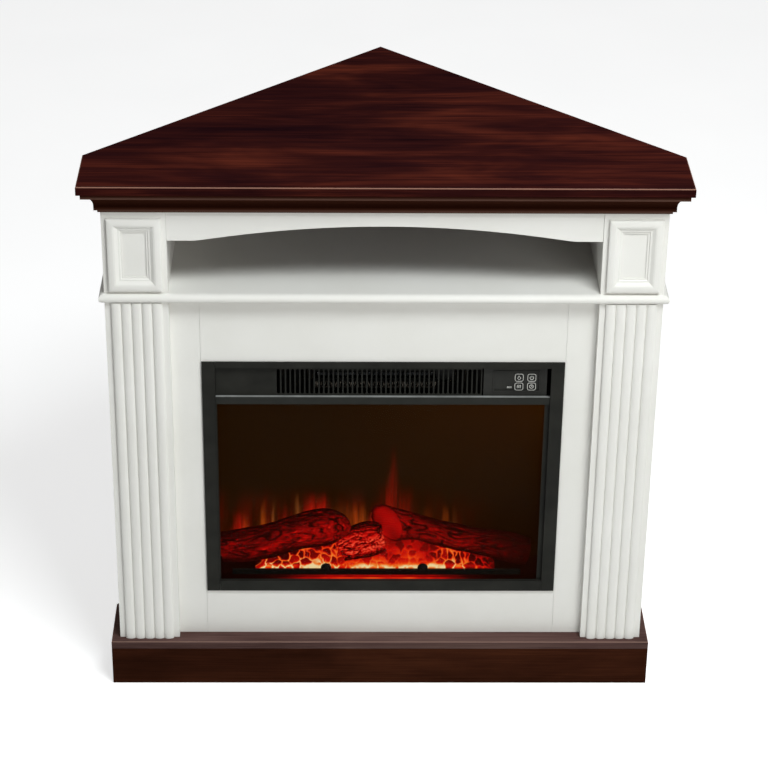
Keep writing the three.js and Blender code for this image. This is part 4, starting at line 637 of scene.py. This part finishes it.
def ember_bed():
    """The moulding under the logs: an apron on two feet and a mound of rounded coals with glowing gaps."""
    low, high = (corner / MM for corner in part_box("ember_bed"))
    front, back = low.y, high.y
    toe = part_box("fender")[1].y / MM + 1.0
    start, end = MOUND_CENTRE - MOUND_HALF, MOUND_CENTRE + MOUND_HALF
    columns = np.concatenate([[low.x], np.linspace(start, end, MOUND_COLUMNS), [high.x]])
    rows = np.concatenate([np.linspace(front, toe - 0.2, APRON_ROWS), np.linspace(toe, back, MOUND_ROWS)])
    y, x = np.meshgrid(rows, columns, indexing="ij")
    depth = y - toe
    along = np.clip(1 - np.abs(x - MOUND_CENTRE) / MOUND_HALF, 0, 1)
    crest = MOUND_TOE + (MOUND_HEIGHT - MOUND_TOE) * np.minimum(1, MOUND_END_SLOPE * along)
    slope = (crest - MOUND_TOE) / MOUND_CLIMB
    climb = np.clip(depth / MOUND_CLIMB, 0, 1)
    walked = np.minimum(depth, MOUND_CLIMB) * np.sqrt(1 + slope**2) + np.maximum(0, depth - MOUND_CLIMB)
    random = np.random.RandomState(SEED)
    across = np.arange(start - CELL, end + CELL, CELL)
    inward = np.arange(-CELL, MOUND_REACH, CELL)
    cells = [(i, j) for i in across for j in inward]
    seeds = np.array(cells) + random.uniform(-JITTER, JITTER, (len(cells), 2)) * CELL
    tone = random.uniform(0, 1, len(cells))
    spot = np.stack([x.ravel(), walked.ravel()], axis=1)
    bend = np.stack([x.ravel(), walked.ravel(), np.zeros(x.size)], axis=1)
    waver = WAVER_SCALE * np.ones(3)
    spot += WAVER * np.stack([perlin(bend, waver, 3.0), perlin(bend, waver, 8.0)], axis=1)
    gap = np.empty(x.size)
    nearest = np.empty(x.size, int)
    for part in np.array_split(np.arange(x.size), BATCHES):
        distance = np.linalg.norm(spot[part, None, :] - seeds[None, :, :], axis=2)
        pair = np.partition(distance, 1, axis=1)[:, :2]
        gap[part] = pair[:, 1] - pair[:, 0]
        nearest[part] = distance.argmin(axis=1)
    gap, tone = gap.reshape(x.shape), tone[nearest].reshape(x.shape)
    dome = ease(0.0, COAL_EDGE, gap)
    inside = (depth >= -0.05) & (along > 0)
    height = MOUND_TOE + (crest - MOUND_TOE) * climb + COAL_RISE * dome - COAL_SINK
    height = np.where(inside, np.minimum(1, 12 * along) * height + 0.4, 0.0)
    z = APRON_TOP + height
    centre = 1 - ease(55, 115, np.abs(x - 18))
    right = ease(120, 190, x)
    patch = perlin(bend, (0.03, 0.05, 1.0), 12.0).reshape(x.shape)
    width = 3.6 + 2.6 * perlin(bend, (0.06, 0.08, 1.0), 17.0).reshape(x.shape)
    web = 1 - ease(0.3, width, gap)
    flicker = 0.72 + 0.28 * np.sin(x / 9.0 + 2 * np.sin(x / 23.0))
    toe_light = (1 - ease(0.0, 8.0, walked)) * flicker
    body = 0.15 + 0.24 * tone**1.5 + 0.14 * centre + 0.1 * patch
    hot = 0.8 - 0.24 * centre - 0.24 * right + 0.22 * patch
    glow = body + (hot - body) * web + 0.46 * toe_light * (1 - 0.5 * right)
    glow = glow + 0.2 * (1 - ease(4, 22, walked)) * (0.35 + 0.65 * centre) * (1 - right)
    glow = glow * (1 - 0.3 * ease(14, 50, walked)) * (1 - 0.3 * right)
    # painted reflection: the apron in front of the mound glows as if it reflected the embers, brighter along
    # its front edge
    lip = np.exp(-((x + 10) / 150.0) ** 4)
    painted_apron_reflection = (0.4 + 0.14 * perlin(bend, (0.05, 0.4, 1.0), 4.0).reshape(x.shape)) * lip
    painted_apron_reflection = painted_apron_reflection * (1 - 0.8 * ease(-8.0, -5.2, depth)) + 0.22 * lip * (y < front + 0.8)
    glow = np.where(inside, glow, np.where(depth < 0, painted_apron_reflection, UNLIT))
    top = np.stack([x, y, z], axis=2)
    nrows, ncols = x.shape
    faces = grid_faces(nrows, ncols)
    offset = nrows * ncols
    border = [(0, k) for k in range(ncols)] + [(i, ncols - 1) for i in range(1, nrows)]
    border += [(nrows - 1, k) for k in range(ncols - 2, -1, -1)]
    border += [(i, 0) for i in range(nrows - 2, 0, -1)]
    rim = [i * ncols + k for i, k in border]
    under = [(x[i, k], y[i, k], APRON_TOP - APRON_THICKNESS) for i, k in border]
    points = list(top.reshape(-1, 3)) + under
    glows = list(glow.ravel()) + [0.75 * glow[i, k] for i, k in border]
    count = len(border)
    for k in range(count):
        next_ = (k + 1) % count
        faces.append((rim[next_], rim[k], offset + k, offset + next_))
    faces.append(tuple(offset + k for k in range(count - 1, -1, -1)))
    for side in (low.x, high.x - FOOT_WIDTH):
        base = len(points)
        for px in (side, side + FOOT_WIDTH):
            for py in (front, back):
                for pz in (low.z, APRON_TOP - APRON_THICKNESS - FOOT_GAP):
                    points.append((px, py, pz))
                    glows.append(UNLIT)
        for quad in BOX_QUADS:
            faces.append(tuple(base + index for index in quad))
    points = np.array(points) * MM
    glows = np.clip(glows, 0, 1)
    add_piece("glowing_embers", points, faces, "fireplace", paint["ember_resin"],
              "ember_bed", glows)


ember_bed()


# ---------------------------------------------------------------- symbols on the controls

STROKE, STROKE_RISE, STROKE_SEAT = 0.9, 0.25, 0.08  # mm: width, height over the face, depth in it
OUTLINE_HALF, OUTLINE_CORNER = 6.6, 3.2
BARS_LEFT, BARS_UP = 7.5, 6.5  # mm, from the lower left corner of the heat button


def arc(centre, radius, start, end, count=20):
    angles = [math.radians(start + (end - start) * i / count) for i in range(count + 1)]
    return [(centre[0] + radius * math.cos(a), centre[1] + radius * math.sin(a)) for a in angles]


def rounded_square(half, corner):
    reach = half - corner
    quarters = [(reach, reach, 0), (-reach, reach, 90), (-reach, -reach, 180), (reach, -reach, 270)]
    return [point for x, z, turn in quarters for point in arc((x, z), corner, turn, turn + 90, 6)]


def add_strokes(name, strokes, centre, face, body, material):
    """Raised strokes on a face that looks to the front; a stroke is (points, closed), in mm."""
    points, faces = [], []
    for line, closed in strokes:
        line = [Vector(point) for point in line]
        count = len(line)
        base = len(points)
        for i, spot in enumerate(line):
            before = line[i - 1] if closed or i else spot
            after = line[(i + 1) % count] if closed or i < count - 1 else spot
            ahead = (after - before).normalized()
            side = Vector((-ahead.y, ahead.x)) * STROKE / 2
            for edge in (spot + side, spot - side):
                for y in (face - STROKE_RISE, face + STROKE_SEAT):
                    points.append((centre[0] + edge.x, y, centre[1] + edge.y))
        for i in range(count if closed else count - 1):
            a, b = base + 4 * i, base + 4 * ((i + 1) % count)
            faces += [(a, a + 2, b + 2, b), (a + 1, b + 1, b + 3, a + 3)]
            faces += [(a, b, b + 1, a + 1), (a + 2, a + 3, b + 3, b + 2)]
        if not closed:
            last = base + 4 * (count - 1)
            faces += [(base, base + 1, base + 3, base + 2), (last, last + 2, last + 3, last + 1)]
    add_piece(name, np.array(points) * MM, faces, body, material, smooth=False)


def symbols():
    pale = moulded_plastic("symbol_print", rgb(186, 186, 180), rgb(206, 206, 200), 0.5)
    outline = (rounded_square(OUTLINE_HALF, OUTLINE_CORNER), True)
    flame = [(0, -3.6), (-2.6, -1.6), (-1.6, 0.9), (-0.4, 3.6), (0.6, 1.4), (2.0, 0.6), (2.5, -1.6)]
    heights = np.linspace(-2.8, 2.8, 13)
    waves = [([(x + 0.6 * math.sin(z * 1.4), z) for z in heights], False) for x in (-2.4, 0, 2.4)]
    drawn = {
        "flame": [(flame, True)],
        "power": [(arc((0, -0.4), 3.0, 125, 415), False), ([(0, 0.2), (0, 3.6)], False)],
        "heat": waves,
        "timer": [(arc((0, 0), 3.2, 0, 342), True), ([(0, 2.0), (0, 0), (1.7, 0)], False)],
    }
    for button, strokes in drawn.items():
        low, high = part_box("button_" + button)
        centre = ((low.x + high.x) / 2 / MM, (low.z + high.z) / 2 / MM)
        add_strokes("symbol_" + button, [outline] + strokes, centre, low.y / MM, button + "_button",
                    pale)
    bars = [([(x, -1.8), (x, 1.8)], False) for x in (-3.0, -1.0, 1.0, 3.0)]
    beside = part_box("button_heat")[0]
    centre = (beside.x / MM - BARS_LEFT, beside.z / MM + BARS_UP)
    add_strokes("level_bars", bars, centre, beside.y / MM, "fireplace", pale)


symbols()


# ---------------------------------------------------------------- floor, light and camera

FLOOR_HALF, FLOOR_DROP, FLOOR_GLOW = 8.0, 0.0006, 0.62
WORLD_LIGHT, WHITE = 0.22, 1.0


def floor():
    mesh = bpy.data.meshes.new("floor")
    half = FLOOR_HALF
    corners = [(-half, -half, 0), (half, -half, 0), (half, half, 0), (-half, half, 0)]
    mesh.from_pydata(corners, [], [(0, 1, 2, 3)])
    made = Finish("pale_floor", rgb(236, 236, 236), 0.9)
    made.put("Base Color", made.ramp(made.noise(3), (0.3, rgb(235, 235, 235)), (0.7, rgb(240, 240, 240))))
    seen = made.node("LightPath", output="Is Camera Ray")
    made.put("Emission Color", (1, 1, 1))
    made.put("Emission Strength", made.math("MULTIPLY", seen, FLOOR_GLOW))
    mesh.materials.append(made.material)
    plane = bpy.data.objects.new("floor", mesh)
    plane.location.z = -FLOOR_DROP
    bpy.context.scene.collection.objects.link(plane)


# name, place, target, size in metres, power in watts, colour
LAMPS = [
    ("key", (0.9, -1.75, 3.2), (0, -0.2, 0.5), (1.5, 0.9), 74, (0.95, 0.99, 1.0)),
    ("fill", (1.7, -3.4, 1.5), (0, -0.2, 0.5), (1.6, 1.4), 30, (1.0, 0.985, 0.955)),
]


def area_light(name, place, target, size, power, colour):
    light = bpy.data.lights.new(name, "AREA")
    light.shape = "RECTANGLE"
    light.size, light.size_y = size
    light.energy = power
    light.color = colour
    lamp = bpy.data.objects.new(name, light)
    lamp.location = place
    lamp.rotation_mode = "QUATERNION"
    lamp.rotation_quaternion = (Vector(target) - Vector(place)).to_track_quat("-Z", "Y")
    bpy.context.scene.collection.objects.link(lamp)


def studio():
    world = bpy.data.worlds.new("studio")
    world.use_nodes = True
    tree = world.node_tree
    soft = tree.nodes["Background"]
    soft.inputs["Color"].default_value = (1, 1, 1, 1)
    soft.inputs["Strength"].default_value = WORLD_LIGHT
    white = tree.nodes.new("ShaderNodeBackground")
    white.inputs["Color"].default_value = (1, 1, 1, 1)
    white.inputs["Strength"].default_value = WHITE
    path = tree.nodes.new("ShaderNodeLightPath")
    mixer = tree.nodes.new("ShaderNodeMixShader")
    tree.links.new(path.outputs["Is Camera Ray"], mixer.inputs[0])
    tree.links.new(soft.outputs[0], mixer.inputs[1])
    tree.links.new(white.outputs[0], mixer.inputs[2])
    tree.links.new(mixer.outputs[0], tree.nodes["World Output"].inputs["Surface"])
    bpy.context.scene.world = world
    for lamp in LAMPS:
        area_light(*lamp)


PHOTO = 768  # pixels, both ways
FOCAL, CENTRE_X, CENTRE_Y = 2482.5369, 374.2671, 384.7621  # pixels, from the camera fitted to the photo
TURNS = 28.8378, 0.9942, 0.6063  # degrees: pitch down, yaw, roll
EYE = -0.0759637, -3.7954885, 2.5227998  # metres
FILM = 36.0  # mm


def camera():
    pitch, yaw, roll = (math.radians(angle) for angle in TURNS)
    ahead = Vector((math.sin(yaw) * math.cos(pitch), math.cos(yaw) * math.cos(pitch), -math.sin(pitch)))
    right = ahead.cross(Vector((0, 0, 1))).normalized()
    up = right.cross(ahead)
    across = right * math.cos(roll) + up * math.sin(roll)
    above = up * math.cos(roll) - right * math.sin(roll)
    place = Vector(EYE)
    data = bpy.data.cameras.new("camera")
    data.sensor_width = FILM
    data.lens = FOCAL / PHOTO * FILM
    data.shift_x = (PHOTO / 2 - CENTRE_X) / PHOTO
    data.shift_y = (CENTRE_Y - PHOTO / 2) / PHOTO
    data.clip_start, data.clip_end = 0.1, 60
    eye = bpy.data.objects.new("camera", data)
    rows = [[across[i], above[i], -ahead[i], place[i]] for i in range(3)]
    eye.matrix_world = Matrix(rows + [[0, 0, 0, 1]])
    bpy.context.scene.collection.objects.link(eye)
    bpy.context.scene.camera = eye


floor()
studio()
camera()
bpy.context.scene.view_settings.view_transform = "Standard"
